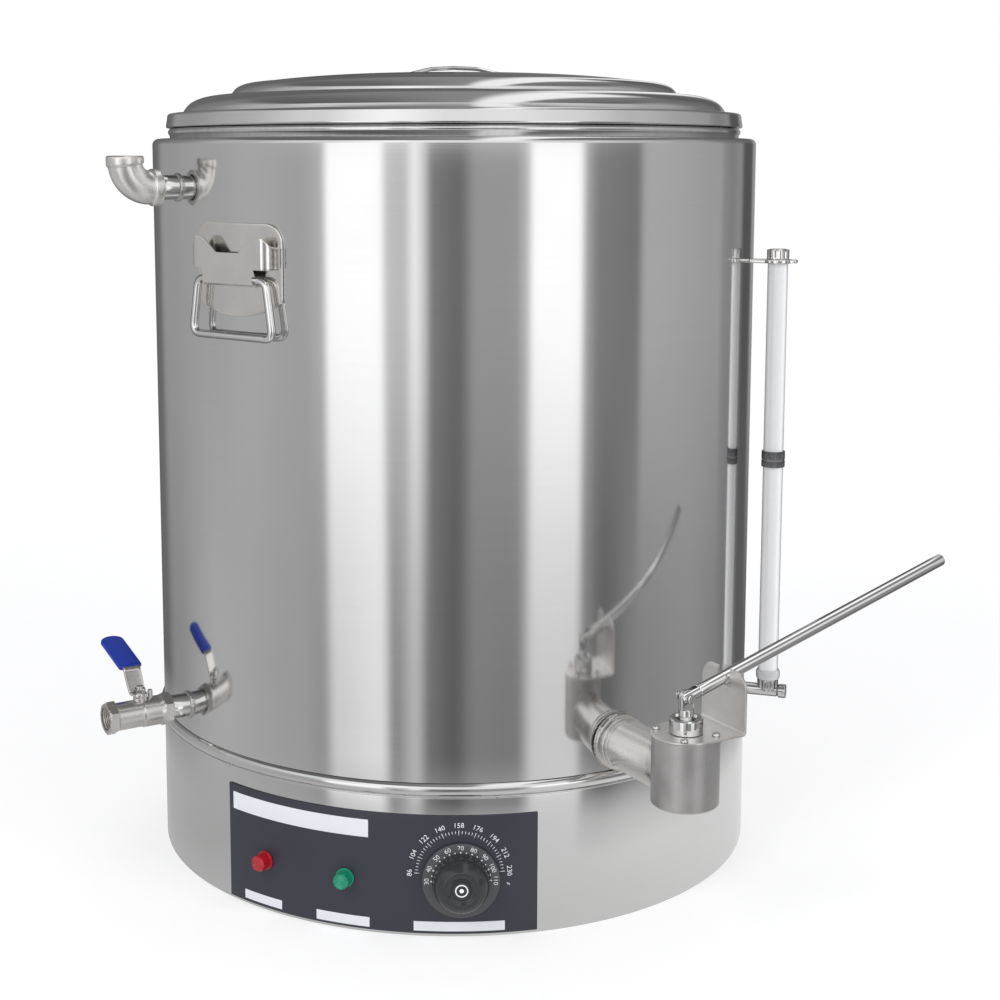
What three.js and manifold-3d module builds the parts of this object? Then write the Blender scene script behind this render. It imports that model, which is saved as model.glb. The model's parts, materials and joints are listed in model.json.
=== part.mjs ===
// Heated honey bottling tank: a double-walled round tank on an electric base.
// Millimetres, +Z up. The origin is the centre of the underside. The front faces -Y.
// An azimuth is measured from the front, positive towards the right-hand side (+X).
// Inside a fitting's group +X points out of the tank, +Y to the right and +Z up.

import * as THREE from 'three';
import { mergeVertices } from 'three/addons/utils/BufferGeometryUtils.js';
import Module from 'manifold-3d';

const wasm = await Module();
wasm.setup();

// Driving dimensions of the tank
const bodyRadius = 250;
const sheetWall = 1.5;
const seatGap = 0.3;
const overrun = 4;
const baseHeight = 106.2;
const shellTop = 586.7;
const shoulderFillet = 5;
const neckOverhang = 2.5;
const neckHeight = 1.8;

// Joint bead between the base and the body
const beadHeight = 11;
const beadBulge = 3.2;
const beadLip = 1.5;
const beadLipHeight = 1.6;

// Inner pot
const jacketGap = 18;
const potFloorRise = 9.8;
const potFloorFillet = 10;
const rimBeadRadius = 3.2;
const rimBeadOffset = 2;

// Floor of the water jacket
const jacketFloorDrop = 14.2;
const jacketFlange = 34;

// Base skirt and bottom cover
const lipWidth = 11;
const coverThickness = 2;
const coverScrewInset = 5.5;
const coverScrewShaft = 2;
const coverScrewHead = 3.6;
const coverScrewHeadHeight = 1.4;
const coverScrewLength = 9;
const coverScrewAzimuth = 45;

// Lid
const lidOverhang = 1.8;
const lidBandHeight = 11.4;
const lidBandFillet = 3;
const lidCollarDepth = 12;
const lidCollarClearance = 1.5;
const lidStepRadius = 196;
const lidStepWidth = 28;
const lidStepRise = 14.5;
const lidCrownRadius = 168;
const lidCrownWidth = 17;
const lidCrownRise = 10.5;
const lidDomeRise = 8.4;
const lidDishRadius = 69;
const lidDishLip = 4;
const lidDishDepth = 18.5;
const lidDishFillet = 5;
const lidDishDraft = 8;

// Arched handle in the dish of the lid
const lidHandleWidth = 20;
const lidHandleThickness = 2.4;
const lidHandleSpan = 74;
const lidHandleRise = 25;
const lidHandleArch = 5.4;
const lidHandleSplay = 7;
const lidHandleFoot = 6;
const lidHandleBend = 4;

// Carrying handles
const leftHandleAzimuth = -39.9;
const rightHandleAzimuth = 140.1;
const handlePlateWidth = 91;
const handleDrop = 62.5;
const handlePlateHeight = 69;
const handlePlateCorner = 15;
const handlePlateSag = 12;
const handlePlateThickness = 1.5;
const bailRodRadius = 3.1;
const bailOffset = 41.7;
const bailTopWidth = 72;
const bailBottomWidth = 85.6;
const bailDrop = 41.7;
const bailBend = 7;
const bracketWall = 1.5;
const bracketWidth = 86;
const bracketFrontWidth = 66;
const bracketOffset = 10.2;
const bracketSideOffset = 33.5;
const bracketShoulder = 7;
const bracketTongueWidth = 53;
const bracketNotchTop = 49;
const bracketNotchBottom = 24;
const bracketNotchDepth = 11.7;
const bracketCurl = 100;

// Pipes and welds
const nippleRadius = 9.5;
const nippleWall = 2;
const nippleInside = 4;
const weldWidth = 2.4;
const weldRise = 1.5;

// Fill elbow of the water jacket
const sideAzimuth = -58;
const elbowDrop = 37.7;
const elbowStandOff = 11;
const elbowArm = 31;
const elbowRise = 24;
const elbowRadius = 13;
const elbowPassage = 7.5;
const elbowBend = 15;
const elbowBandHeight = 7.3;
const elbowBandRise = 1.2;
const elbowSocketDepth = 12;

// Drain ball valve
const drainRise = 33.3;
const valveStandOff = 12;
const valveLength = 57;
const valveHexFlats = 23;
const valveHexLength = 8;
const valveBarrelRadius = 11.5;
const valveOutletRadius = 10.8;
const valveSocketDepth = 13;
const valveMouthRadius = 9.2;
const valvePort = 5;
const ballRadius = 7.6;
const ballGap = 0.5;
const ballChamberRadius = 8.5;
const ballChamberLength = 22;
const ballSlotWidth = 3.6;
const ballSlotDepth = 2;
const seatRingWidth = 5.5;
const stemRadius = 2.8;
const stemBlade = 3;
const stemBossRadius = 5.4;
const stemBossTop = 13.6;
const stemTop = 22;
const stemNutFlats = 8;
const stemNutHeight = 4;
const stopLugOffset = 8.4;
const stopLugRadius = 2;
const stopLugTop = 17.6;
const leverThickness = 2;
const leverEyeRadius = 5.6;
const leverWidth = 14;
const leverFlat = 6.5;
const leverShankRun = 10.5;
const leverShankRise = 17;
const leverArmRun = 40;
const leverArmRise = 11;
const sleeveWall = 1.5;
const sleeveWidth = 19;
const sleeveCorner = 6;
const sleeveStart = 2;

// Honey gate
const gateAzimuth = 29.3;
const gateReach = 83;
const outletRise = 33.3;
const outletRadius = 19;
const outletWall = 2;
const outletInside = 2;
const collarOffset = 8;
const collarWidth = 2.2;
const collarRise = 1.2;
const gateRadius = 24.2;
const gateWall = 2.5;
const gateDrop = 20.5;
const gateLength = 50;
const gateChamfer = 1.5;
const gateHeadHeight = 10;
const gateHeadBore = 17.4;
const gateSeatRadius = 16;
const gateSeatThickness = 3;
const plungerRadius = 20.8;
const plungerHeight = 8;
const plungerHubRadius = 6.1;
const plungerHubHeight = 6;
const sealRadius = 1.8;
const sealRingRadius = 18.2;
const plateMargin = 0.6;
const plateThickness = 1.5;
const plateReach = 34;
const plateBend = 3;
const earHeight = 42.5;
const earCorner = 12;
const notchWidth = 14;
const notchCorner = 3;
const leverClearance = 0.5;
const bossRadius = 12.2;
const bossHeight = 9.5;
const bossChamfer = 1.6;
const rodRadius = 5.5;
const rodTipRadius = 4;
const rodClearance = 0.35;
const tangThickness = 4;
const tangDrop = 8;
const pivotRise = 25.4;
const gateLeverRadius = 4.5;
const gateLeverLength = 250;
const gateLeverAngle = 16.5;
const gateLeverHeel = 5;
const gateLeverSlot = 10;
const gateLeverNose = 1.5;
const pinRadius = 2;
const pinHeadRadius = 3.2;
const pinHeadHeight = 2;
const pinTail = 4;
const gateScrewOut = 16.6;
const gateScrewSide = 13.8;
const gateScrewHead = 2.8;
const gateScrewHeadHeight = 1.9;
const gateScrewShaft = 1.5;
const gateScrewDepth = 6;
const springRadius = 9;
const springWireRadius = 0.9;
const springTurns = 5;

// Sight gauge
const gaugeAzimuth = 72;
const gaugeReach = 22;
const gaugeRise = 29.8;
const gaugePipeRadius = 5;
const gaugePipeWall = 2;
const gaugePipeInside = 5;
const gaugePipeOverhang = 9;
const gaugeEndCap = 6;
const gaugeEndCapRadius = 5.7;
const gaugeBossRadius = 6.2;
const gaugeBossHeight = 10;
const gaugeTubeRadius = 8;
const gaugeTubeWall = 1.8;
const gaugeTubeLength = 345;
const gaugeNutRadius = 8.6;
const gaugeNutHeight = 7.4;
const gaugeCollarRadius = 9.7;
const gaugeCollarHeight = 7.7;
const gaugeCouplingRadius = 9.4;
const gaugeCouplingHeight = 13;
const gaugeCouplingPlace = 177;
const gaugeFlutes = 12;
const gaugeFluteDepth = 0.6;
const gaugeCapRadius = 8.8;
const gaugeCapHeight = 8;
const gaugePlugDepth = 10;
const strapThickness = 2;
const strapWidth = 12;
const strapRing = 2.6;
const strapTab = 3.5;
const strapFoot = 9;
const strapDrop = 1.4;

// Control panel, lamps and thermostat
const panelStartAzimuth = -43.7;
const panelEndAzimuth = 14.2;
const panelBottom = 2.6;
const panelHeight = 90.9;
const panelThickness = 1;
const lampHeight = 41;
const powerLampAzimuth = -34.8;
const workingLampAzimuth = -18.8;
const lampLensRadius = 6.2;
const lampLensReach = 8.5;
const lampLensFillet = 0.8;
const lampFlangeRadius = 7.2;
const lampFlangeThickness = 1.4;
const lampBodyRadius = 4.5;
const lampBodyDepth = 22;
const knobAzimuth = 1.15;
const knobHeight = 44.5;
const bezelRadius = 29.65;
const bezelThickness = 2.2;
const knobRadius = 22.5;
const knobDepth = 18;
const knobTaper = 1.6;
const knobFillet = 2.5;
const knobDish = 2;
const knobDishRadius = 13;
const knobHubRadius = 8;
const knobHubRise = 1;
const shaftRadius = 3;
const shaftReach = 8;
const thermostatWidth = 44;
const thermostatHeight = 34;
const thermostatDepth = 30;
const thermostatCorner = 4;

// Heating element, terminals and cable gland
const rearAzimuth = 180;
const elementRadius = 150;
const elementTube = 4;
const elementRise = 12.6;
const elementLegSpread = 34;
const elementLegLength = 34;
const elementBend = 8;
const elementNutFlats = 14;
const elementNutHeight = 5;
const terminalWidth = 60;
const terminalDepth = 22;
const terminalHeight = 16;
const terminalInset = 52.5;
const terminalWays = 4;
const terminalSlotWidth = 9;
const terminalSlotDepth = 6;
const terminalSlotLength = 14;
const glandHeight = 34;
const glandBore = 5;
const glandNutFlats = 22;
const glandNutHeight = 6;
const glandDomeRadius = 9.5;
const glandDomeLength = 9;
const glandMouthRadius = 7;
const glandTailRadius = 8;
const glandTailLength = 12;

// Numbers of facets
const drumSides = 36;
const pipeSides = 18;
const fittingSides = 12;
const smallSides = 8;
const screwSides = 8;
const rodSides = 8;
const wireSides = 5;
const weldTolerance = 1e-4;
const fullTurn = 360;
const halfTurn = 180;
const leverEyeSweep = 200;

// Levels and radii worked out from the driving dimensions
const innerRadius = bodyRadius - sheetWall;
const potRadius = bodyRadius - jacketGap;
const neckRadius = potRadius + neckOverhang;
const beadBottom = baseHeight + seatGap;
const potFloor = baseHeight + potFloorRise;
const jacketFloorHeight = baseHeight - jacketFloorDrop;
const elementHeight = jacketFloorHeight + elementRise;
const drainHeight = baseHeight + drainRise;
const outletHeight = baseHeight + outletRise;
const gaugeHeight = baseHeight + gaugeRise;
const gateBottom = outletHeight - gateDrop;
const gateTop = gateBottom + gateLength;
const shellBottom = beadBottom + beadHeight + seatGap;
const rimRadius = potRadius + rimBeadOffset;
const rimHeight = shellTop + neckHeight + seatGap + rimBeadRadius;
const lidBottom = rimHeight + rimBeadRadius + seatGap;
const lidBandTop = lidBottom + lidBandHeight;
const lidStepTop = lidBandTop + lidStepRise;
const lidCrownTop = lidStepTop + lidCrownRise;
const lidTop = lidCrownTop + lidDomeRise;
const lidDishFloor = lidTop - lidDishDepth;
const gateCentre = bodyRadius + gateReach;
const gateSeat = gateBottom + gateSeatThickness;
const sealHeight = gateSeat + seatGap + sealRadius;
const plungerTop = sealHeight + sealRadius / 2 + plungerHeight;
const gatePlateBottom = gateTop + seatGap;
const gatePlateTop = gatePlateBottom + plateThickness;
const pivotHeight = gatePlateTop + pivotRise;
const gaugeTubeBottom = gaugeHeight + gaugeBossHeight + seatGap;
const gaugeTubeTop = gaugeTubeBottom + gaugeTubeLength;
const elbowHeight = shellTop - elbowDrop;
const handlePlateTop = shellTop - handleDrop;
const bailHeight = handlePlateTop - bailOffset;
const bracketTop = handlePlateTop - bracketOffset;
const bracketSideBottom = handlePlateTop - bracketSideOffset;
const terminalOffset = innerRadius - terminalInset;
const valveCentre = bodyRadius + valveStandOff + valveLength / 2;
const handleSeat = bodyRadius + seatGap + handlePlateThickness + seatGap;
const bailReach = handleSeat + bailRodRadius;
const bracketFront = bailReach + bailRodRadius + seatGap + bracketWall;
const panelFace = bodyRadius + seatGap + panelThickness + seatGap;
const innerFlat = innerRadius * Math.cos(Math.PI / drumSides);
const thermostatFront = Math.sqrt(innerFlat ** 2 - (thermostatWidth / 2) ** 2) - seatGap;

// Materials
function metal(color, roughness) {
  return new THREE.MeshStandardMaterial({ color, roughness, metalness: 1 });
}

function plastic(color, roughness) {
  return new THREE.MeshStandardMaterial({ color, roughness, metalness: 0 });
}

const polishedSteel = metal(0xc9cacb, 0.16);
const brushedSteel = metal(0xbfc0c1, 0.3);
const castSteel = metal(0xb8b4ae, 0.42);
const darkChrome = metal(0x6c6e72, 0.25);
const brass = metal(0xb08d4c, 0.35);
const blueVinyl = plastic(0x16329a, 0.4);
const greyPanel = plastic(0x45454d, 0.45);
const blackPlastic = plastic(0x2c2d2e, 0.38);
const redLens = plastic(0xc01525, 0.15);
const greenLens = plastic(0x107a4c, 0.15);
const clearTube = plastic(0xe9ecec, 0.2);
const palePlastic = plastic(0xf2f0ea, 0.5);

// Solids. Every helper returns the geometry of one closed body.
// Faces without area are left out, and so are the two end faces where a ring closes on itself.
function solid(geometry) {
  const bare = new THREE.BufferGeometry();
  bare.setAttribute('position', geometry.getAttribute('position'));
  bare.setIndex(geometry.index);
  const welded = mergeVertices(bare, weldTolerance);
  const points = welded.getAttribute('position');
  const corners = welded.index.array;
  const a = new THREE.Vector3();
  const b = new THREE.Vector3();
  const c = new THREE.Vector3();
  const faces = new Map();
  for (let i = 0; i < corners.length; i += 3) {
    const face = [corners[i], corners[i + 1], corners[i + 2]];
    const key = [...face].sort((p, q) => p - q).join();
    if (new Set(face).size < 3) continue;
    if (faces.has(key)) faces.delete(key);
    else faces.set(key, face);
  }
  let volume = 0;
  for (const [p, q, r] of faces.values()) {
    a.fromBufferAttribute(points, p);
    b.fromBufferAttribute(points, q);
    c.fromBufferAttribute(points, r);
    volume += a.dot(b.cross(c));
  }
  const kept = [...faces.values()].flat();
  if (volume < 0) kept.reverse();
  const vertProperties = new Float32Array(points.array);
  const triVerts = new Uint32Array(kept);
  return new wasm.Manifold(new wasm.Mesh({ numProp: 3, vertProperties, triVerts }));
}

function surface(manifold) {
  const mesh = manifold.getMesh();
  const geometry = new THREE.BufferGeometry();
  const points = new Float32Array(mesh.vertProperties);
  geometry.setAttribute('position', new THREE.BufferAttribute(points, 3));
  geometry.setIndex(new THREE.BufferAttribute(new Uint32Array(mesh.triVerts), 1));
  geometry.computeVertexNormals();
  return geometry;
}

function join(...geometries) {
  return surface(geometries.map(solid).reduce((whole, part) => whole.add(part)));
}

function cut(geometry, ...tools) {
  return surface(tools.map(solid).reduce((rest, tool) => rest.subtract(tool), solid(geometry)));
}

function common(...geometries) {
  return surface(geometries.map(solid).reduce((whole, part) => whole.intersect(part)));
}

// Outlines. Angles are in degrees.
function oval(x, y, run, rise, from, to, steps) {
  return Array.from({ length: steps + 1 }, (unused, i) => {
    const angle = THREE.MathUtils.degToRad(from + (to - from) * i / steps);
    return [x + run * Math.cos(angle), y + rise * Math.sin(angle)];
  });
}

function arc(x, y, radius, from, to, steps) {
  return oval(x, y, radius, radius, from, to, steps);
}

function polygon(flats, sides) {
  const corner = flats / 2 / Math.cos(Math.PI / sides);
  const half = halfTurn / sides;
  return arc(0, 0, corner, half, fullTurn + half, sides).slice(0, sides);
}

// A toothed ring of shallow flutes
function fluted(radius, depth, flutes) {
  const outer = arc(0, 0, radius, 0, fullTurn, flutes * 2);
  const inner = arc(0, 0, radius - depth, 0, fullTurn, flutes * 2);
  return outer.slice(1).map((point, i) => (i % 2 ? point : inner[i + 1]));
}

// An outline mirrored in its second half: the points run from the middle to the right
function mirrored(points) {
  return [...points, ...points.map(([x, y]) => [-x, y]).reverse()];
}

// A bend between two straight runs, as points on an arc
function bend(before, corner, after, radius, steps) {
  const back = before.clone().sub(corner).normalize();
  const ahead = after.clone().sub(corner).normalize();
  const half = back.angleTo(ahead) / 2;
  const middle = back.clone().add(ahead).normalize();
  const centre = corner.clone().addScaledVector(middle, radius / Math.sin(half));
  const arm = corner.clone().addScaledVector(back, radius / Math.tan(half)).sub(centre);
  const last = corner.clone().addScaledVector(ahead, radius / Math.tan(half)).sub(centre);
  const axis = arm.clone().cross(last).normalize();
  const sweep = arm.angleTo(last);
  return Array.from({ length: steps + 1 }, (unused, i) => {
    return arm.clone().applyAxisAngle(axis, sweep * i / steps).add(centre);
  });
}

// Corners [x, y, z] joined by bends of one radius
function bentRoute(corners, radius, steps) {
  const points = corners.map((corner) => new THREE.Vector3(...corner));
  const bends = points.slice(1, -1).map((corner, i) => {
    return bend(points[i], corner, points[i + 2], radius, steps);
  });
  return [points[0], ...bends.flat(), points[points.length - 1]];
}

function rounded(points, radius, steps) {
  const route = bentRoute(points.map(([x, y]) => [x, y, 0]), radius, steps);
  return route.map((point) => [point.x, point.y]);
}

// A sheet of one thickness. Its face follows the points and the metal lies to their left.
function sheet(points, wall) {
  const ways = points.slice(1).map(([x, y], i) => {
    return new THREE.Vector2(x - points[i][0], y - points[i][1]).normalize();
  });
  const back = points.map(([x, y], i) => {
    const before = ways[Math.max(i - 1, 0)];
    const after = ways[Math.min(i, ways.length - 1)];
    const across = new THREE.Vector2(-before.y - after.y, before.x + after.x);
    const reach = wall * 2 / across.lengthSq();
    return [x + across.x * reach, y + across.y * reach];
  });
  return [...points, ...back.reverse()];
}

// Turned forms, from a closed section of points [radius, height]
function turned(points, sides) {
  const section = points.map(([radius, height]) => new THREE.Vector2(radius, height));
  const onAxis = points[0][0] === 0 && points[points.length - 1][0] === 0;
  if (!onAxis) section.push(section[0].clone());
  return new THREE.LatheGeometry(section, sides).rotateX(Math.PI / 2);
}

// The same round +X, from points [distance out, radius]
function turnedOut(points, sides) {
  return turned(points.map(([out, radius]) => [radius, out]), sides).rotateY(Math.PI / 2);
}

function pillar(radius, bottom, top, sides) {
  return turned([[0, bottom], [radius, bottom], [radius, top], [0, top]], sides);
}

function ring(inner, outer, bottom, top, sides) {
  return turned([[inner, bottom], [outer, bottom], [outer, top], [inner, top]], sides);
}

function bar(radius, start, end, sides) {
  return turnedOut([[start, 0], [start, radius], [end, radius], [end, 0]], sides);
}

// Prisms of an outline in X and Y, in Y and Z, and in X and Z
function prism(points, bottom, top) {
  const shape = new THREE.Shape(points.map(([x, y]) => new THREE.Vector2(x, y)));
  const geometry = new THREE.ExtrudeGeometry(shape, { depth: top - bottom, bevelEnabled: false });
  return geometry.translate(0, 0, bottom);
}

function outPrism(points, start, end) {
  return prism(points, start, end).rotateX(Math.PI / 2).rotateZ(Math.PI / 2);
}

function sidePrism(points, start, end) {
  return prism(points, -end, -start).rotateX(Math.PI / 2);
}

function block(x0, x1, y0, y1, z0, z1) {
  return prism([[x0, y0], [x1, y0], [x1, y1], [x0, y1]], z0, z1);
}

// A path that is extruded from point to point, with mitred sections
class Route extends THREE.Curve {
  constructor(points) {
    super();
    this.points = points;
  }

  index(t) {
    return Math.round(t * (this.points.length - 1));
  }

  getPointAt(t, target = new THREE.Vector3()) {
    return target.copy(this.points[this.index(t)]);
  }

  getTangentAt(t, target = new THREE.Vector3()) {
    const here = this.index(t);
    const last = this.points.length - 1;
    const from = Math.max(here - 1, 0);
    const to = Math.min(here + 1, last);
    target.copy(this.points[to]).sub(this.points[from]);
    return target.normalize();
  }
}

function roundBar(points, radius, sides) {
  const circle = arc(0, 0, radius, 0, fullTurn, sides).slice(0, sides);
  const shape = new THREE.Shape(circle.map(([x, y]) => new THREE.Vector2(x, y)));
  const extrudePath = new Route(points);
  return new THREE.ExtrudeGeometry(shape, { steps: points.length - 1, extrudePath, bevelEnabled: false });
}

// The scene graph
const tank = new THREE.Group();
tank.name = 'heated_honey_bottling_tank';

function add(parent, name, geometry, material) {
  const mesh = new THREE.Mesh(surface(solid(geometry)), material);
  mesh.name = name;
  parent.add(mesh);
  return mesh;
}

function child(parent, x, y, z) {
  const group = new THREE.Group();
  group.position.set(x, y, z);
  parent.add(group);
  return group;
}

function turnOf(azimuth) {
  return THREE.MathUtils.degToRad(azimuth - 90);
}

function fitting(azimuth) {
  const group = child(tank, 0, 0, 0);
  group.rotation.z = turnOf(azimuth);
  return group;
}

// The tank's drum at some radius, seen from a fitting's frame
function drum(radius, azimuth) {
  return pillar(radius, -lidTop, lidTop, drumSides).rotateZ(-turnOf(azimuth));
}

// Clearance holes through the tank's walls
function wallHole(azimuth, height, radius, from, sides) {
  const hole = bar(radius + seatGap, from, bodyRadius + overrun, sides);
  return hole.translate(0, 0, height).rotateZ(turnOf(azimuth));
}

function outletHole() {
  return wallHole(gateAzimuth, outletHeight, outletRadius, potRadius - potFloorFillet, pipeSides);
}

function skirtHoles() {
  const from = innerRadius - overrun;
  return [
    wallHole(powerLampAzimuth, lampHeight, lampBodyRadius, from, fittingSides),
    wallHole(workingLampAzimuth, lampHeight, lampBodyRadius, from, fittingSides),
    wallHole(knobAzimuth, knobHeight, shaftRadius, from, fittingSides),
    wallHole(rearAzimuth, glandHeight, glandTailRadius, from, fittingSides),
  ];
}

// Body of the tank
function outerShell() {
  const outside = [
    [bodyRadius, shellBottom],
    ...arc(bodyRadius - shoulderFillet, shellTop - shoulderFillet, shoulderFillet, 0, 90, 2),
    [neckRadius, shellTop],
    [neckRadius, shellTop + neckHeight],
  ];
  const from = innerRadius - overrun;
  return cut(
    turned(sheet(outside, sheetWall), drumSides),
    outletHole(),
    wallHole(sideAzimuth, elbowHeight, nippleRadius, from, fittingSides),
    wallHole(sideAzimuth, drainHeight, nippleRadius, from, fittingSides),
    wallHole(gaugeAzimuth, gaugeHeight, gaugePipeRadius, from, fittingSides),
  );
}

function innerPot() {
  const lean = THREE.MathUtils.radToDeg(Math.acos(rimBeadOffset / rimBeadRadius));
  const corner = [potRadius - potFloorFillet, potFloor + potFloorFillet];
  const section = [
    [0, potFloor],
    ...arc(...corner, potFloorFillet, -90, 0, 2),
    ...arc(rimRadius, rimHeight, rimBeadRadius, lean - halfTurn, halfTurn, 5),
    [potRadius - sheetWall, rimHeight],
    ...arc(...corner, potFloorFillet - sheetWall, 0, -90, 2),
    [0, potFloor + sheetWall],
  ];
  return cut(turned(section, drumSides), outletHole());
}

function elementLegPlaces() {
  const side = elementLegSpread / 2;
  const back = Math.sqrt(elementRadius ** 2 - side ** 2);
  return [[side, back], [-side, back]];
}

function jacketFloor() {
  const edge = innerRadius - seatGap;
  const outside = [
    [0, jacketFloorHeight],
    [edge, jacketFloorHeight],
    [edge, jacketFloorHeight + jacketFlange],
  ];
  const legHoles = elementLegPlaces().map(([x, y]) => {
    const hole = pillar(
      elementTube + seatGap,
      jacketFloorHeight - overrun,
      jacketFloorHeight + sheetWall + overrun,
      smallSides,
    );
    return hole.translate(x, y, 0);
  });
  return cut(turned(sheet(outside, sheetWall), drumSides), outletHole(), ...legHoles);
}

function jointBead() {
  const half = (beadHeight - beadLipHeight) / 2;
  const section = [
    [innerRadius, beadBottom],
    [bodyRadius + beadLip, beadBottom],
    [bodyRadius + beadLip, beadBottom + beadLipHeight],
    ...oval(bodyRadius, beadBottom + beadLipHeight + half, beadBulge, half, -60, 90, 4),
    [innerRadius, beadBottom + beadHeight],
  ];
  return turned(section, drumSides);
}

// Base
function coverScrewPlaces() {
  const reach = innerRadius - coverScrewInset;
  return [0, 1, 2, 3].map((i) => {
    const angle = THREE.MathUtils.degToRad(coverScrewAzimuth) + i * Math.PI / 2;
    return [reach * Math.sin(angle), -reach * Math.cos(angle)];
  });
}

function baseSkirt() {
  const lipBottom = coverThickness + seatGap;
  const lipTop = lipBottom + sheetWall;
  const section = [
    [innerRadius, 0],
    [bodyRadius, 0],
    [bodyRadius, baseHeight],
    [innerRadius, baseHeight],
    [innerRadius, lipTop],
    [innerRadius - lipWidth, lipTop],
    [innerRadius - lipWidth, lipBottom],
    [innerRadius, lipBottom],
  ];
  const screwHoles = coverScrewPlaces().map(([x, y]) => {
    return pillar(coverScrewShaft + seatGap, 0, lipTop + overrun, screwSides).translate(x, y, 0);
  });
  return cut(turned(section, drumSides), ...screwHoles, ...skirtHoles());
}

function baseCover() {
  const disc = pillar(innerRadius - seatGap, 0, coverThickness, drumSides);
  const recess = [
    [0, -overrun],
    [coverScrewHead + seatGap, -overrun],
    [coverScrewHead + seatGap, seatGap],
    [coverScrewShaft + seatGap, seatGap + coverScrewHeadHeight],
    [coverScrewShaft + seatGap, coverThickness + overrun],
    [0, coverThickness + overrun],
  ];
  return cut(disc, ...coverScrewPlaces().map(([x, y]) => turned(recess, screwSides).translate(x, y, 0)));
}

function coverScrew() {
  const section = [
    [0, seatGap],
    [coverScrewHead, seatGap],
    [coverScrewShaft, seatGap + coverScrewHeadHeight],
    [coverScrewShaft, coverScrewLength],
    [0, coverScrewLength],
  ];
  return turned(section, screwSides);
}

// Lid: one folded sheet from the collar, round the hem, over the top and into the dish
function lidSheet() {
  const collar = potRadius - sheetWall - lidCollarClearance;
  const band = rimRadius + rimBeadRadius + lidOverhang;
  const domeShares = [0.4, 1];
  const dome = domeShares.map((share) => {
    const radius = lidCrownRadius + (lidDishRadius - lidCrownRadius) * share;
    return [radius, lidCrownTop + lidDomeRise * (1 - (1 - share) ** 2)];
  });
  const dishFoot = lidDishRadius - lidDishLip - lidDishDraft;
  const outside = [
    [collar, lidBottom - lidCollarDepth],
    [collar, lidBottom],
    [band, lidBottom],
    ...arc(band - lidBandFillet, lidBandTop - lidBandFillet, lidBandFillet, 0, 90, 1),
    ...oval(lidStepRadius, lidBandTop, lidStepWidth, lidStepRise, 0, 90, 3),
    ...oval(lidCrownRadius, lidStepTop, lidCrownWidth, lidCrownRise, 0, 90, 2),
    ...dome,
    ...arc(lidDishRadius, lidTop - lidDishLip, lidDishLip, 90, 160, 1).slice(1),
    ...arc(dishFoot - lidDishFillet, lidDishFloor + lidDishFillet, lidDishFillet, -20, -90, 1),
    [0, lidDishFloor],
  ];
  return turned(sheet(outside, sheetWall), drumSides);
}

function lidHandle() {
  const half = lidHandleSpan / 2;
  const foot = lidDishFloor + seatGap + lidHandleThickness;
  const top = lidDishFloor + seatGap + lidHandleRise;
  const archRadius = (half ** 2 + lidHandleArch ** 2) / (2 * lidHandleArch);
  const lean = THREE.MathUtils.radToDeg(Math.asin(half / archRadius));
  const arch = arc(0, top - archRadius, archRadius, 90 - lean / 3, 90, 1);
  const right = rounded([
    [half + lidHandleSplay + lidHandleFoot, foot],
    [half + lidHandleSplay, foot],
    [half, top - lidHandleArch],
    arch[0],
  ], lidHandleBend, 2);
  const left = right.map(([x, z]) => [-x, z]).reverse();
  const side = lidHandleWidth / 2;
  return sidePrism(sheet([...right, arch[1], ...left], lidHandleThickness), -side, side);
}

// Carrying handles
function handlePlate(azimuth) {
  const half = handlePlateWidth / 2;
  const bottom = handlePlateTop - handlePlateHeight;
  const sagRadius = (half ** 2 + handlePlateSag ** 2) / (2 * handlePlateSag);
  const sweep = THREE.MathUtils.radToDeg(Math.asin(half / sagRadius));
  const corner = [half - handlePlateCorner, handlePlateTop - handlePlateCorner];
  const right = arc(...corner, handlePlateCorner, 0, 90, 3);
  const outline = [
    ...arc(0, bottom + sagRadius, sagRadius, -90 - sweep, -90 + sweep, 6),
    ...right,
    ...right.map(([y, z]) => [-y, z]).reverse(),
  ];
  const inner = bodyRadius + seatGap;
  const outer = inner + handlePlateThickness;
  const skin = ring(inner, outer, bottom - overrun, handlePlateTop + overrun, drumSides);
  const cutter = outPrism(outline, innerRadius - handlePlateWidth / 2, bracketFront);
  return common(skin.rotateZ(-turnOf(azimuth)), cutter);
}

// A channel pressed from sheet, welded to the plate by its two sides, with a curled tongue
// that carries the top bar of the bail
function handleBracket(azimuth) {
  const foot = innerRadius - bracketWall * 2;
  const half = bracketWidth / 2;
  const front = bracketFrontWidth / 2;
  const radius = (half - front) / 2;
  const section = rounded(
    [[foot, -half], [bracketFront, -front - radius], [bracketFront, front + radius], [foot, half]],
    radius,
    3,
  );
  const low = bailHeight;
  const notchFloor = bracketTop - bracketNotchDepth;
  const face = mirrored([
    [bracketNotchBottom / 2, notchFloor],
    [bracketNotchTop / 2, bracketTop],
    [half - bracketShoulder, bracketTop],
    [half + bracketWall, bracketTop - bracketShoulder],
    [half + bracketWall, bracketSideBottom],
    [bracketTongueWidth / 2, bracketSideBottom],
    [bracketTongueWidth / 2, low],
  ]);
  const channel = common(
    prism(sheet(section, bracketWall), low, bracketTop),
    outPrism(face, 0, bracketFront + overrun),
  );
  const around = bracketFront - bailReach;
  const curl = [
    [bracketFront, low + overrun],
    ...arc(bailReach, low, around, 0, -bracketCurl, 5),
    ...arc(bailReach, low, around - bracketWall, -bracketCurl, 0, 5),
    [bracketFront - bracketWall, low + overrun],
  ];
  const tongue = sidePrism(curl, -bracketTongueWidth / 2, bracketTongueWidth / 2);
  return cut(join(channel, tongue), drum(handleSeat, azimuth));
}

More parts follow.
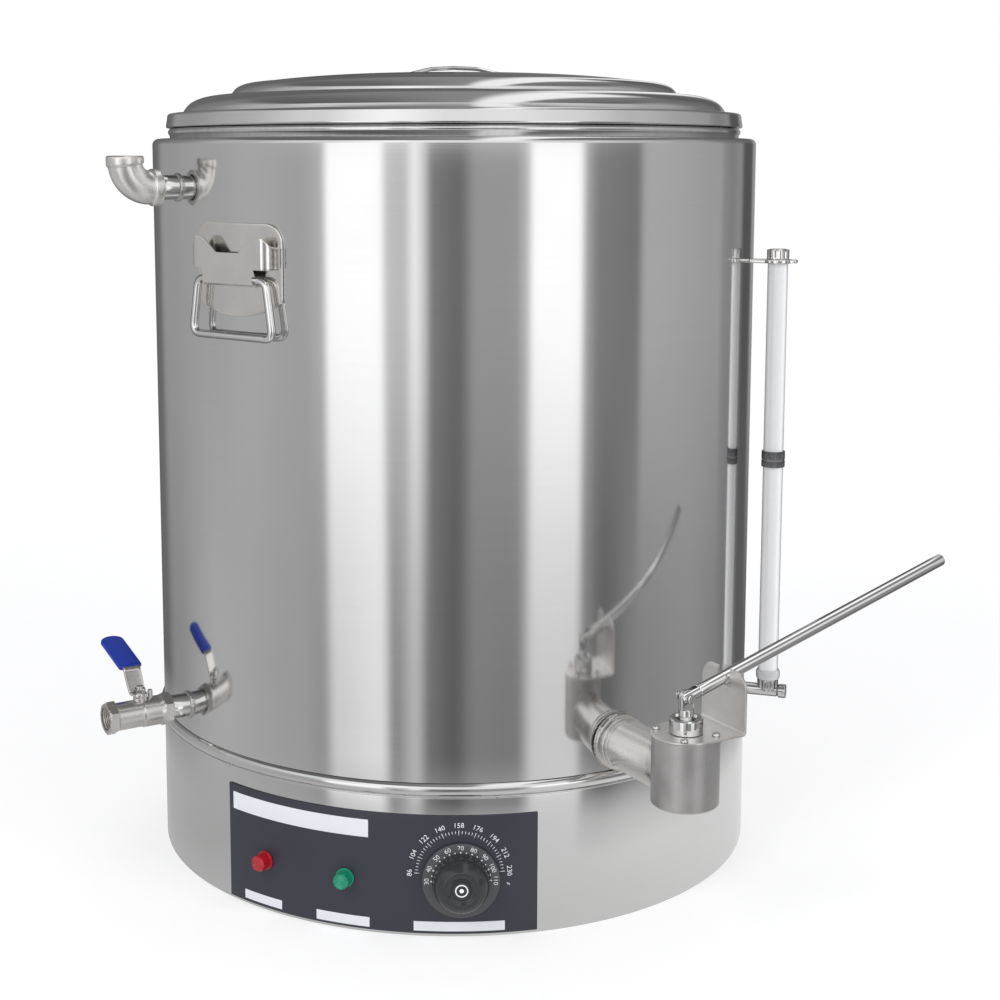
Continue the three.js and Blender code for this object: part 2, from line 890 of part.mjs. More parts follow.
function bail() {
  const top = bailTopWidth / 2;
  const bottom = bailBottomWidth / 2;
  const corners = [
    [0, 0, 0],
    [0, top, 0],
    [0, bottom, -bailDrop],
    [0, -bottom, -bailDrop],
    [0, -top, 0],
    [0, 0, 0],
  ];
  return roundBar(bentRoute(corners, bailBend, 3), bailRodRadius, rodSides);
}

// Pipes from the wall, each with a weld round its root
function ringOut(inner, outer, start, end, sides) {
  return turnedOut([[start, inner], [start, outer], [end, outer], [end, inner]], sides);
}

function wallPipe(radius, wall, inside, end, azimuth, sides) {
  const pipe = ringOut(radius - wall, radius, bodyRadius - inside, end, sides);
  const foot = bodyRadius - overrun;
  const top = bodyRadius + seatGap + weldRise;
  const weld = turnedOut([
    [foot, radius - wall / 2],
    [foot, radius + weldWidth],
    [top - weldRise / 2, radius + weldWidth],
    [top + weldRise, radius],
    [top + weldRise, radius - wall / 2],
  ], sides);
  return join(pipe, cut(weld, drum(bodyRadius + seatGap, azimuth)));
}

// Fill elbow
function elbow() {
  const start = bodyRadius + elbowStandOff;
  const axis = start + elbowArm;
  const route = bentRoute([[start, 0, 0], [axis, 0, 0], [axis, 0, elbowRise]], elbowBend, 4);
  const bandRadius = elbowRadius + elbowBandRise;
  const socket = nippleRadius + seatGap;
  const body = join(
    roundBar(route, elbowRadius, fittingSides),
    bar(bandRadius, start, start + elbowBandHeight, fittingSides),
    pillar(bandRadius, elbowRise - elbowBandHeight, elbowRise, fittingSides).translate(axis, 0, 0),
  );
  return cut(
    body,
    roundBar(route, elbowPassage, smallSides),
    bar(socket, start - overrun, start + elbowSocketDepth, fittingSides),
    pillar(socket, elbowRise - elbowSocketDepth, elbowRise + overrun, fittingSides).translate(axis, 0, 0),
  );
}

// Drain valve, about the centre of its ball
function valveBody() {
  const half = valveLength / 2;
  const hex = polygon(valveHexFlats, 6);
  const chamber = ballChamberLength / 2;
  const body = join(
    outPrism(hex, -half, valveHexLength - half),
    bar(valveBarrelRadius, -half + valveHexLength / 2, 0, fittingSides),
    bar(valveOutletRadius, -valveHexLength, half - valveHexLength / 2, fittingSides),
    outPrism(hex, half - valveHexLength, half),
    pillar(stemBossRadius, 0, stemBossTop, fittingSides),
    pillar(stopLugRadius, 0, stopLugTop, screwSides).translate(-stopLugOffset, 0, 0),
  );
  return cut(
    body,
    bar(nippleRadius + seatGap, -half - overrun, valveSocketDepth - half, fittingSides),
    bar(valvePort, -half, half, fittingSides),
    bar(ballChamberRadius, -chamber, chamber, fittingSides),
    bar(valveMouthRadius, half - valveSocketDepth, half + overrun, fittingSides),
    pillar(stemRadius + seatGap, 0, stemBossTop + overrun, smallSides),
  );
}

function valveBall() {
  const ball = new THREE.SphereGeometry(ballRadius, fittingSides, smallSides);
  const slotFloor = ballRadius - ballSlotDepth;
  const slotHalf = ballSlotWidth / 2;
  return cut(
    ball,
    bar(valvePort, -ballRadius, ballRadius, fittingSides).rotateZ(Math.PI / 2),
    block(-ballRadius, ballRadius, -slotHalf, slotHalf, slotFloor, ballRadius + overrun),
  );
}

function seatRing() {
  const end = ballChamberLength / 2 - seatGap;
  const sleeve = turnedOut([
    [end - seatRingWidth, valvePort],
    [end - seatRingWidth, ballChamberRadius - seatGap],
    [end, ballChamberRadius - seatGap],
    [end, valvePort],
  ], fittingSides);
  return cut(sleeve, new THREE.SphereGeometry(ballRadius + ballGap, fittingSides, smallSides));
}

function valveStem() {
  const bladeFoot = ballRadius - ballSlotDepth + seatGap;
  const bladeHalf = stemBlade / 2;
  const blade = block(-stemRadius, stemRadius, -bladeHalf, bladeHalf, bladeFoot, ballRadius + stemRadius);
  return join(
    common(blade, pillar(stemRadius, bladeFoot, stemTop, smallSides)),
    pillar(stemRadius, ballRadius + seatGap, stemTop, smallSides),
  );
}

function stemNut() {
  const bottom = stemBossTop + seatGap + leverThickness + seatGap;
  return cut(
    prism(polygon(stemNutFlats, 6), bottom, bottom + stemNutHeight),
    pillar(stemRadius + seatGap, 0, stemTop + overrun, smallSides),
  );
}

// The drain lever points along +X here, with its eye on the stem
function drainLever() {
  const bottom = stemBossTop + seatGap;
  const shankEnd = leverFlat + leverShankRun;
  const tip = shankEnd + leverArmRun;
  const under = [
    [-leverEyeRadius, bottom],
    [leverFlat, bottom],
    [shankEnd, bottom + leverShankRise],
    [tip, bottom + leverShankRise + leverArmRise],
  ];
  const half = leverWidth / 2;
  const plan = [
    [shankEnd, -half],
    [tip + overrun, -half],
    [tip + overrun, half],
    [shankEnd, half],
    ...arc(0, 0, leverEyeRadius, halfTurn - leverEyeSweep / 2, halfTurn + leverEyeSweep / 2, 6),
  ];
  const strip = common(sidePrism(sheet(under, leverThickness), -half, half), prism(plan, 0, tip));
  return cut(strip, pillar(stemRadius + seatGap, 0, stemTop, smallSides));
}

function leverSleeve() {
  const length = Math.hypot(leverArmRun, leverArmRise);
  const end = length + seatGap + sleeveWall;
  const half = sleeveWidth / 2;
  const corners = [
    [sleeveStart, 0],
    [sleeveStart, -half],
    [end, -half],
    [end, half],
    [sleeveStart, half],
    [sleeveStart, 0],
  ];
  const outline = rounded(corners, sleeveCorner, 2);
  const top = leverThickness + seatGap;
  const pocketHalf = leverWidth / 2 + seatGap;
  return cut(
    prism(outline, -seatGap - sleeveWall, top + sleeveWall),
    block(sleeveStart - overrun, length + seatGap, -pocketHalf, pocketHalf, -seatGap, top),
  );
}

// Honey gate, about the upright axis of its body
function outletPipe() {
  const inside = bodyRadius - potRadius + sheetWall + outletInside;
  const pipe = wallPipe(outletRadius, outletWall, inside, gateCentre, gateAzimuth, pipeSides);
  const start = bodyRadius + collarOffset;
  const collar = ringOut(
    outletRadius - outletWall / 2,
    outletRadius + collarRise,
    start,
    start + collarWidth,
    pipeSides,
  );
  const throat = pillar(gateRadius + seatGap, -outletHeight, outletHeight, pipeSides);
  return cut(join(pipe, collar), throat.translate(gateCentre, 0, 0));
}

function gateScrewPlaces() {
  const quarters = [[-1, -1], [1, -1], [1, 1], [-1, 1]];
  return quarters.map(([out, side]) => [out * gateScrewOut, side * gateScrewSide]);
}

function gateScrewHoles(bottom, top) {
  return gateScrewPlaces().map(([x, y]) => {
    return pillar(gateScrewShaft + seatGap, bottom, top, screwSides).translate(x, y, 0);
  });
}

function gateBody() {
  const bore = gateRadius - gateWall;
  const headBottom = gateTop - gateHeadHeight;
  const section = [
    [gateSeatRadius, gateBottom],
    [gateRadius - gateChamfer, gateBottom],
    [gateRadius, gateBottom + gateChamfer],
    [gateRadius, gateTop],
    [gateHeadBore, gateTop],
    [gateHeadBore, headBottom],
    [bore, headBottom],
    [bore, gateSeat],
    [gateSeatRadius, gateSeat],
  ];
  const side = bar(outletRadius - outletWall, -gateRadius - overrun, 0, pipeSides);
  const screwHoles = gateScrewHoles(gateTop - gateScrewDepth - seatGap, gateTop + overrun);
  return cut(turned(section, pipeSides), side.translate(0, 0, outletHeight), ...screwHoles);
}

function gateSeal() {
  return turned(arc(sealRingRadius, sealHeight, sealRadius, 0, fullTurn, 6).slice(0, 6), fittingSides);
}

function gatePlunger() {
  const bottom = sealHeight + sealRadius / 4;
  const section = [
    [0, bottom],
    [plungerRadius, bottom],
    [plungerRadius, plungerTop],
    [plungerHubRadius, plungerTop],
    [plungerHubRadius, plungerTop + plungerHubHeight],
    [0, plungerTop + plungerHubHeight],
  ];
  const groove = arc(sealRingRadius, sealHeight, sealRadius + seatGap, 0, fullTurn, 6).slice(0, 6);
  const socketFloor = plungerTop - plungerHeight / 2;
  return cut(
    turned(section, pipeSides),
    turned(groove, fittingSides),
    pillar(rodTipRadius + seatGap, socketFloor, plungerTop + plungerHubHeight + overrun, smallSides),
  );
}

function plungerRod() {
  const tip = plungerTop - plungerHeight / 2 + seatGap;
  const shoulder = plungerTop + plungerHubHeight + seatGap;
  const shank = turned([
    [0, tip],
    [rodTipRadius, tip],
    [rodTipRadius, shoulder],
    [rodRadius, shoulder],
    [rodRadius, pivotHeight + rodRadius],
    [0, pivotHeight + rodRadius],
  ], fittingSides);
  const face = [[-rodRadius, tip], [rodRadius, tip], ...arc(0, pivotHeight, rodRadius, 0, halfTurn, 6)];
  const half = tangThickness / 2;
  const tangFoot = pivotHeight - tangDrop;
  const tangTop = pivotHeight + rodRadius + overrun;
  return cut(
    common(shank, outPrism(face, -rodRadius, rodRadius)),
    block(half, rodRadius + overrun, -rodRadius, rodRadius, tangFoot, tangTop),
    block(-rodRadius - overrun, -half, -rodRadius, rodRadius, tangFoot, tangTop),
    bar(pinRadius + seatGap, -rodRadius, rodRadius, smallSides).translate(0, 0, pivotHeight),
  );
}

// A flat plate on the gate body, turned up into an ear with a notch that carries the lever
function gatePlate() {
  const half = gateRadius + plateMargin;
  const earTop = gatePlateTop + earHeight;
  const inside = plateReach - plateThickness;
  const profile = rounded(
    [[-half - overrun, gatePlateBottom], [plateReach, gatePlateBottom], [plateReach, earTop]],
    plateBend,
    3,
  );
  const strip = outPrism(sheet(profile, plateThickness), -half, half);
  const plan = [...arc(0, 0, half, halfTurn, fullTurn, 12), [half, plateReach], [-half, plateReach]];
  const ear = mirrored([
    [0, gatePlateBottom],
    [half, gatePlateBottom],
    ...arc(half - earCorner, earTop - earCorner, earCorner, 0, 90, 3),
  ]);
  const slope = THREE.MathUtils.degToRad(gateLeverAngle);
  const underLever = pivotHeight + inside * Math.tan(slope) - gateLeverRadius / Math.cos(slope);
  const notchFloor = underLever - leverClearance;
  const notchHalf = notchWidth / 2;
  const notch = rounded([
    [-notchHalf, earTop + overrun],
    [-notchHalf, notchFloor],
    [notchHalf, notchFloor],
    [notchHalf, earTop + overrun],
  ], notchCorner, 2);
  return cut(
    common(strip, prism(plan, gatePlateBottom, earTop), sidePrism(ear, -half, plateReach)),
    sidePrism(notch, inside - overrun, plateReach + overrun),
    pillar(rodRadius + rodClearance, gateTop, gatePlateTop + overrun, fittingSides),
    ...gateScrewHoles(gateTop, gatePlateTop + overrun),
  );
}

function guideBoss() {
  const bottom = gatePlateTop + seatGap;
  const top = bottom + bossHeight;
  const bore = rodRadius + rodClearance;
  return turned([
    [bore, bottom],
    [bossRadius, bottom],
    [bossRadius, top - bossChamfer],
    [bossRadius - bossChamfer, top],
    [bore, top],
  ], fittingSides);
}

function gateScrew() {
  const seat = gatePlateTop + seatGap;
  return turned([
    [0, gateTop - gateScrewDepth],
    [gateScrewShaft, gateTop - gateScrewDepth],
    [gateScrewShaft, seat],
    [gateScrewHead, seat],
    [gateScrewHead, seat + gateScrewHeadHeight / 2],
    [gateScrewHead / 2, seat + gateScrewHeadHeight],
    [0, seat + gateScrewHeadHeight],
  ], screwSides);
}

function gateSpring() {
  const bottom = plungerTop + seatGap + springWireRadius;
  const top = gatePlateBottom - seatGap - springWireRadius;
  const coil = springRadius - springWireRadius;
  const turnSteps = 8;
  const steps = springTurns * turnSteps;
  const points = Array.from({ length: steps + 1 }, (unused, i) => {
    const angle = i / turnSteps * Math.PI * 2;
    const height = bottom + (top - bottom) * i / steps;
    return new THREE.Vector3(coil * Math.cos(angle), coil * Math.sin(angle), height);
  });
  return roundBar(points, springWireRadius, wireSides);
}

// The gate lever runs along +Y here, from its pivot
function gateLever() {
  const rod = turnedOut([
    [-gateLeverHeel, 0],
    [-gateLeverHeel, gateLeverRadius],
    [gateLeverLength - gateLeverNose, gateLeverRadius],
    [gateLeverLength, gateLeverRadius - gateLeverNose],
    [gateLeverLength, 0],
  ], fittingSides).rotateZ(Math.PI / 2);
  const half = tangThickness / 2 + seatGap;
  const side = gateLeverRadius + overrun;
  return cut(
    rod,
    block(-half, half, -gateLeverHeel - overrun, gateLeverSlot, -side, side),
    bar(pinRadius + seatGap, -side, side, smallSides),
  );
}

function leverPin() {
  const face = gateLeverRadius + seatGap;
  return turnedOut([
    [-face - pinTail, 0],
    [-face - pinTail, pinRadius],
    [face, pinRadius],
    [face, pinHeadRadius],
    [face + pinHeadHeight, pinHeadRadius],
    [face + pinHeadHeight, 0],
  ], smallSides);
}

// Sight gauge
function gaugePipe() {
  const bore = gaugePipeRadius - gaugePipeWall;
  const axis = bodyRadius + gaugeReach;
  const capStart = axis + gaugePipeOverhang;
  const capEnd = capStart + gaugeEndCap;
  const middle = (capStart + capEnd) / 2;
  const pipe = wallPipe(gaugePipeRadius, gaugePipeWall, gaugePipeInside, middle, gaugeAzimuth, fittingSides);
  const cap = bar(gaugeEndCapRadius, capStart, capEnd, fittingSides);
  const boss = pillar(gaugeBossRadius, 0, gaugeBossHeight, fittingSides).translate(axis, 0, 0);
  return cut(
    join(pipe, cap, boss),
    bar(bore, bodyRadius - gaugePipeInside, axis, fittingSides),
    pillar(bore, 0, gaugeBossHeight + overrun, fittingSides).translate(axis, 0, 0),
  );
}

function gaugeNut() {
  const bottom = gaugeBossHeight - gaugeNutHeight;
  return cut(
    prism(fluted(gaugeNutRadius, gaugeFluteDepth, gaugeFlutes), bottom, gaugeBossHeight),
    pillar(gaugeBossRadius + seatGap, 0, gaugeBossHeight + overrun, fittingSides),
    bar(gaugePipeRadius + seatGap, -gaugeReach, gaugeReach, fittingSides),
  );
}

function gaugeTube(bottom, top) {
  return ring(gaugeTubeRadius - gaugeTubeWall, gaugeTubeRadius, bottom, top, fittingSides);
}

function gaugeCollar() {
  const top = gaugeTubeBottom + gaugeCollarHeight;
  return ring(gaugeTubeRadius + seatGap, gaugeCollarRadius, gaugeTubeBottom, top, fittingSides);
}

function gaugeCoupling() {
  return cut(
    prism(fluted(gaugeCouplingRadius, gaugeFluteDepth, gaugeFlutes), 0, gaugeCouplingHeight),
    pillar(gaugeTubeRadius + seatGap, -overrun, gaugeCouplingHeight + overrun, fittingSides),
  );
}

function gaugeCap() {
  const plug = gaugeTubeRadius - gaugeTubeWall - seatGap;
  return join(
    prism(fluted(gaugeCapRadius, gaugeFluteDepth, gaugeFlutes), seatGap, seatGap + gaugeCapHeight),
    pillar(plug, -gaugePlugDepth, seatGap + gaugeCapHeight / 2, fittingSides),
  );
}

function gaugeBracket() {
  const axis = bodyRadius + gaugeReach;
  const half = strapWidth / 2;
  const outer = gaugeTubeRadius + seatGap + strapRing;
  const foot = innerRadius - strapThickness;
  const face = bodyRadius + seatGap + strapThickness;
  const strap = join(
    block(foot, axis + outer + strapTab, -half, half, 0, strapThickness),
    pillar(outer, 0, strapThickness, fittingSides).translate(axis, 0, 0),
    block(foot, face, -half, half, -strapFoot, strapThickness / 2),
  );
  const tubeHole = pillar(gaugeTubeRadius + seatGap, -overrun, overrun, fittingSides).translate(axis, 0, 0);
  return cut(strap, tubeHole, drum(bodyRadius + seatGap, gaugeAzimuth));
}

// Control panel: a sector of sheet wrapped round the skirt
function controlPanel() {
  const inner = bodyRadius + seatGap;
  const top = panelBottom + panelHeight;
  const band = ring(inner, inner + panelThickness, panelBottom, top, drumSides);
  const reach = bodyRadius * 2;
  const middle = (panelStartAzimuth + panelEndAzimuth) / 2;
  const rim = [panelStartAzimuth, middle, panelEndAzimuth].map((azimuth) => {
    const angle = THREE.MathUtils.degToRad(azimuth);
    return [reach * Math.sin(angle), -reach * Math.cos(angle)];
  });
  return cut(common(band, prism([[0, 0], ...rim], panelBottom - overrun, top + overrun)), ...skirtHoles());
}

function lamp() {
  const lensEnd = lampFlangeThickness + lampLensReach;
  return turnedOut([
    [-lampBodyDepth, 0],
    [-lampBodyDepth, lampBodyRadius],
    [0, lampBodyRadius],
    [0, lampFlangeRadius],
    [lampFlangeThickness, lampFlangeRadius],
    [lampFlangeThickness, lampLensRadius],
    [lensEnd - lampLensFillet, lampLensRadius],
    [lensEnd, lampLensRadius - lampLensFillet],
    [lensEnd, 0],
  ], fittingSides);
}

function dialBezel() {
  const disc = ringOut(
    shaftRadius + seatGap,
    bezelRadius,
    panelFace - overrun,
    panelFace + bezelThickness,
    pipeSides,
  );
  return cut(disc, drum(panelFace, knobAzimuth));
}

// Thermostat knob: a tapered grip with a dished face, a hub and its shaft
function thermostatKnob() {
  const back = panelFace + bezelThickness + seatGap;
  const front = back + knobDepth;
  const rim = knobRadius - knobTaper;
  return turnedOut([
    [thermostatFront - shaftReach, 0],
    [thermostatFront - shaftReach, shaftRadius],
    [back, shaftRadius],
    [back, knobRadius],
    ...arc(front - knobFillet, rim - knobFillet, knobFillet, 90, 0, 2),
    [front, knobDishRadius],
    [front - knobDish, knobHubRadius],
    [front - knobDish + knobHubRise, knobHubRadius - knobHubRise],
    [front - knobDish + knobHubRise, 0],
  ], pipeSides);
}

function thermostatBody() {
  const half = thermostatWidth / 2;
  const rise = thermostatHeight / 2;
  const corner = [half - thermostatCorner, rise - thermostatCorner];
  const quarter = arc(...corner, thermostatCorner, 0, 90, 2);
  const top = [...quarter, ...quarter.map(([y, z]) => [-y, z]).reverse()];
  const outline = [...top, ...top.map(([y, z]) => [-y, -z])];
  return cut(
    outPrism(outline, thermostatFront - thermostatDepth, thermostatFront),
    bar(
      shaftRadius + seatGap,
      thermostatFront - shaftReach - seatGap,
      thermostatFront + overrun,
      smallSides,
    ),
  );
}

// Heating element: one tube bent into an open ring, with two legs down through the jacket floor
function heatingElement() {
  const side = elementLegSpread / 2;
  const start = THREE.MathUtils.radToDeg(Math.asin(side / elementRadius));
  const loop = arc(0, 0, elementRadius, start, fullTurn - start, 22).map(([x, y]) => [x, y, elementHeight]);
  const [first, second] = loop;
  const foot = [first[0], first[1], elementHeight - elementLegLength];
  const opening = bentRoute([foot, first, second], elementBend, 2);
  const closing = opening.map((point) => new THREE.Vector3(point.x, -point.y, point.z)).reverse();
  const middle = loop.slice(2, -2).map((point) => new THREE.Vector3(...point));
  const tube = roundBar([...opening, ...middle, ...closing], elementTube, rodSides);
  const nutTop = jacketFloorHeight - seatGap;
  const nuts = [1, -1].map((turn) => {
    const nut = prism(polygon(elementNutFlats, 6), nutTop - elementNutHeight, nutTop);
    return nut.translate(first[0], turn * first[1], 0);
  });
  return join(tube, ...nuts);
}

function terminalBlock() {
  const half = terminalWidth / 2;
  const depth = terminalDepth / 2;
  const bottom = coverThickness + seatGap;
  const top = bottom + terminalHeight;
  const pitch = terminalWidth / terminalWays;
  const slots = Array.from({ length: terminalWays }, (unused, i) => {
    const y = pitch * (i + 1 / 2) - half;
    const wide = terminalSlotWidth / 2;
    const long = terminalSlotLength / 2;
    return block(-long, long, y - wide, y + wide, top - terminalSlotDepth, top + overrun);
  });
  return cut(block(-depth, depth, -half, half, bottom, top), ...slots);
}

function cableGland() {
  const nutEnd = bodyRadius + seatGap + glandNutHeight;
  const tailEnd = innerRadius - glandTailLength;
  const mouth = nutEnd + glandDomeLength;
  const hex = outPrism(polygon(glandNutFlats, 6), innerRadius - overrun, nutEnd);
  const body = turnedOut([
    [tailEnd, 0],
    [tailEnd, glandTailRadius],
    [nutEnd - glandNutHeight / 2, glandTailRadius],
    [nutEnd - glandNutHeight / 2, glandDomeRadius],
    [nutEnd + glandDomeLength / 2, glandDomeRadius],
    [mouth, glandMouthRadius],
    [mouth, 0],
  ], fittingSides);
  return cut(
    join(cut(hex, drum(bodyRadius + seatGap, rearAzimuth)), body),
    bar(glandBore, tailEnd - overrun, mouth + overrun, smallSides),
  );
}

// Placing the pieces
function buildBody() {
  add(tank, 'outer_shell', outerShell(), polishedSteel);
  add(tank, 'inner_pot', innerPot(), polishedSteel);
  add(tank, 'jacket_floor', jacketFloor(), brushedSteel);
  add(tank, 'joint_bead', jointBead(), polishedSteel);
}

function buildBase() {
  add(tank, 'base_skirt', baseSkirt(), polishedSteel);
  add(tank, 'base_cover', baseCover(), brushedSteel);
  coverScrewPlaces().forEach(([x, y], i) => {
    add(tank, `base_screw_${i + 1}`, coverScrew(), brushedSteel).position.set(x, y, 0);
  });
  const rear = fitting(rearAzimuth);
  add(rear, 'heating_element', heatingElement(), brushedSteel);
  add(rear, 'terminal_block', terminalBlock(), palePlastic).position.x = terminalOffset;
  add(rear, 'cable_gland', cableGland(), blackPlastic).position.z = glandHeight;
}

function buildControls() {
  add(tank, 'control_panel', controlPanel(), greyPanel);
  const power = child(fitting(powerLampAzimuth), panelFace, 0, lampHeight);
  add(power, 'power_lamp', lamp(), redLens);
  const working = child(fitting(workingLampAzimuth), panelFace, 0, lampHeight);
  add(working, 'working_lamp', lamp(), greenLens);
  const dial = child(fitting(knobAzimuth), 0, 0, knobHeight);
  add(dial, 'dial_bezel', dialBezel(), blackPlastic);
  add(dial, 'thermostat_knob', thermostatKnob(), blackPlastic);
  add(dial, 'thermostat_body', thermostatBody(), palePlastic);
}

function buildLid() {
  add(tank, 'lid', lidSheet(), polishedSteel);
  add(tank, 'lid_handle', lidHandle(), polishedSteel);
}

function buildHandle(side, azimuth) {
  const handle = fitting(azimuth);
  add(handle, `${side}_handle_plate`, handlePlate(azimuth), polishedSteel);
  add(handle, `${side}_handle_bracket`, handleBracket(azimuth), polishedSteel);
  add(handle, `${side}_handle_bail`, bail(), polishedSteel).position.set(bailReach, 0, bailHeight);
}

function nipple(end) {
  return wallPipe(nippleRadius, nippleWall, nippleInside, end, sideAzimuth, fittingSides);
}

function buildFill() {
  const fill = child(fitting(sideAzimuth), 0, 0, elbowHeight);
  const nippleEnd = bodyRadius + elbowStandOff + elbowSocketDepth - seatGap;
  add(fill, 'fill_nipple', nipple(nippleEnd), castSteel);
  add(fill, 'fill_elbow', elbow(), castSteel);
}

function buildDrain() {
  const drain = child(fitting(sideAzimuth), 0, 0, drainHeight);
  const nippleEnd = bodyRadius + valveStandOff + valveSocketDepth - seatGap;
  add(drain, 'drain_nipple', nipple(nippleEnd), castSteel);
  const valve = child(drain, valveCentre, 0, 0);
  add(valve, 'drain_valve_body', valveBody(), castSteel);
  add(valve, 'drain_seat_outer', seatRing(), palePlastic);
  add(valve, 'drain_seat_inner', seatRing(), palePlastic).rotation.z = Math.PI;
  add(valve, 'drain_ball', valveBall(), polishedSteel);
  add(valve, 'drain_stem', valveStem(), brushedSteel);
  add(valve, 'drain_stem_nut', stemNut(), brushedSteel);
  const arm = child(valve, 0, 0, 0);
  arm.rotation.z = -Math.PI / 2;
  add(arm, 'drain_lever', drainLever(), brushedSteel);
  const grip = child(arm, leverFlat + leverShankRun, 0, stemBossTop + seatGap + leverShankRise);
  grip.rotation.y = -Math.atan2(leverArmRise, leverArmRun);
  add(grip, 'drain_lever_sleeve', leverSleeve(), blueVinyl);
}

function buildGate() {
  const gate = fitting(gateAzimuth);
  add(gate, 'gate_outlet_pipe', outletPipe(), brushedSteel).position.z = outletHeight;
  const head = child(gate, gateCentre, 0, 0);
  add(head, 'gate_body', gateBody(), brushedSteel);
  add(head, 'gate_plate', gatePlate(), brushedSteel);
  add(head, 'gate_guide_boss', guideBoss(), brushedSteel);
  add(head, 'gate_plunger', gatePlunger(), brushedSteel);
  add(head, 'gate_seal', gateSeal(), palePlastic);
  add(head, 'gate_plunger_rod', plungerRod(), polishedSteel);
  add(head, 'gate_spring', gateSpring(), brushedSteel);
  gateScrewPlaces().forEach(([x, y], i) => {
    add(head, `gate_screw_${i + 1}`, gateScrew(), brushedSteel).position.set(x, y, 0);
  });
  const pivot = child(head, 0, 0, pivotHeight);
  pivot.rotation.x = THREE.MathUtils.degToRad(gateLeverAngle);
  add(pivot, 'gate_lever', gateLever(), polishedSteel);
  add(pivot, 'gate_lever_pin', leverPin(), polishedSteel);
}

function buildGauge() {
  const gauge = fitting(gaugeAzimuth);
  const strapHeight = gaugeTubeTop - strapDrop - strapThickness;
  add(gauge, 'gauge_pipe', gaugePipe(), castSteel).position.z = gaugeHeight;
  add(gauge, 'gauge_bracket', gaugeBracket(), polishedSteel).position.z = strapHeight;
  const column = child(gauge, bodyRadius + gaugeReach, 0, 0);
  const coupling = gaugeTubeBottom + gaugeCouplingPlace;
  const middle = coupling + gaugeCouplingHeight / 2;
  add(column, 'gauge_nut', gaugeNut(), castSteel).position.z = gaugeHeight;
  add(column, 'gauge_collar', gaugeCollar(), clearTube);
  add(column, 'gauge_tube_lower', gaugeTube(gaugeTubeBottom, middle - seatGap / 2), clearTube);
  add(column, 'gauge_tube_upper', gaugeTube(middle + seatGap / 2, gaugeTubeTop), clearTube);
  add(column, 'gauge_coupling', gaugeCoupling(), darkChrome).position.z = coupling;
  add(column, 'gauge_cap', gaugeCap(), brass).position.z = gaugeTubeTop;
}

buildBody();
buildBase();
buildControls();
buildLid();
buildHandle('left', leftHandleAzimuth);
buildHandle('right', rightHandleAzimuth);
buildFill();
buildDrain();
buildGate();
buildGauge();

export default tank;
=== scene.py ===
"""Looks of a heated honey bottling tank, laid out as a Blender add-on.

Lengths are in millimetres and angles in degrees until a mesh is written, which is in metres.
A fitting's own frame has X pointing out of the tank, Y to the right and Z up.
An azimuth is measured from the front of the tank, positive towards its right-hand side.
"""

import json
import math

import bmesh
import bpy
import numpy as np
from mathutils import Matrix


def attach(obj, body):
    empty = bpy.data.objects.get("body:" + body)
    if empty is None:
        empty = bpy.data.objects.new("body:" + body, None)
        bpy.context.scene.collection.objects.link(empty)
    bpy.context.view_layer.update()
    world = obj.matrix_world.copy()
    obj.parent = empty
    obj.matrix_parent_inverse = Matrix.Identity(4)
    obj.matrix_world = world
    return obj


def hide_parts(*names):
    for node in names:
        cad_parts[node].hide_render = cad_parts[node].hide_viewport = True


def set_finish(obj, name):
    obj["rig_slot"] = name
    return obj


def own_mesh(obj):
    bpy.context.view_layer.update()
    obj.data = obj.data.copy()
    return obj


bl_info = {
    "name": "Heated honey bottling tank",
    "version": (1, 0, 0),
    "blender": (4, 5, 0),
    "location": "View3D > Sidebar > Tank",
    "description": "Dresses the packed tank with turned, folded and swept pieces and their finishes",
    "category": "Object",
}

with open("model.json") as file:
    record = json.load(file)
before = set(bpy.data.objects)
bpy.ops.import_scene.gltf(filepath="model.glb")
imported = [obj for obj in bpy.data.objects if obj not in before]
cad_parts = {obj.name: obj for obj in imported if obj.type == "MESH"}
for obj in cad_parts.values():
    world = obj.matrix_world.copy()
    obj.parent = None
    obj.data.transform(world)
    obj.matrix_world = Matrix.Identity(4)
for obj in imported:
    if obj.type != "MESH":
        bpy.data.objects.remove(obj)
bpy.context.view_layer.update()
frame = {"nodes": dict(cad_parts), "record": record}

SLOTS = [m["slot"] for m in frame["record"]["materials"]]
MM = 0.001
GAP = 0.3  # room between pieces whose turned groups would otherwise share a face
WALL = 1.5  # thickness of the sheet
BODY = 250.0  # outer radius of tank and base
INSIDE = BODY - WALL
ROOT = 246.0  # where pipes and brackets start, inside the wall
BASE_TOP = 106.2
BEAD_TOP = 117.5
SHELL_TOP = 586.7
POT = 232.0  # outer radius of the inner pot
RIM = 591.997  # height of the middle of the pot's rolled rim
LID_BOTTOM = 595.497
BAND_TOP = LID_BOTTOM + 11.4  # top of the lid's upright band
CROWN_TOP = BAND_TOP + 25.0  # where the lid's dome begins
DISH_FLOOR = CROWN_TOP - 10.1  # the flat middle of the lid, which carries its handle
SIDE_AZIMUTH = -58.0  # fill elbow and drain valve
GATE_AZIMUTH = 29.3
GAUGE_AZIMUTH = 72.0
LEFT_AZIMUTH = -39.9
RIGHT_AZIMUTH = 140.1
KNOB_AZIMUTH = 1.15
PLATE_HEIGHT = 524.2  # top of a handle's plate
BAIL_REACH = 255.2  # where a bail's bar lies
BAIL_HEIGHT = 482.5
STUB = 9.5  # outer radius of the two half-inch stubs
FILL_HEIGHT = 549.0
DRAIN_HEIGHT = 139.5
VALVE_REACH = 290.5  # middle of the drain valve
OUTLET = 19.0  # outer radius of the gate's outlet pipe
OUTLET_HEIGHT = 139.5
GATE_REACH = 333.0  # axis of the honey gate
GATE_BODY = 24.2  # outer radius of its housing
PLATE_TOP = 170.8
PIVOT = 196.2  # height of the lever's pin
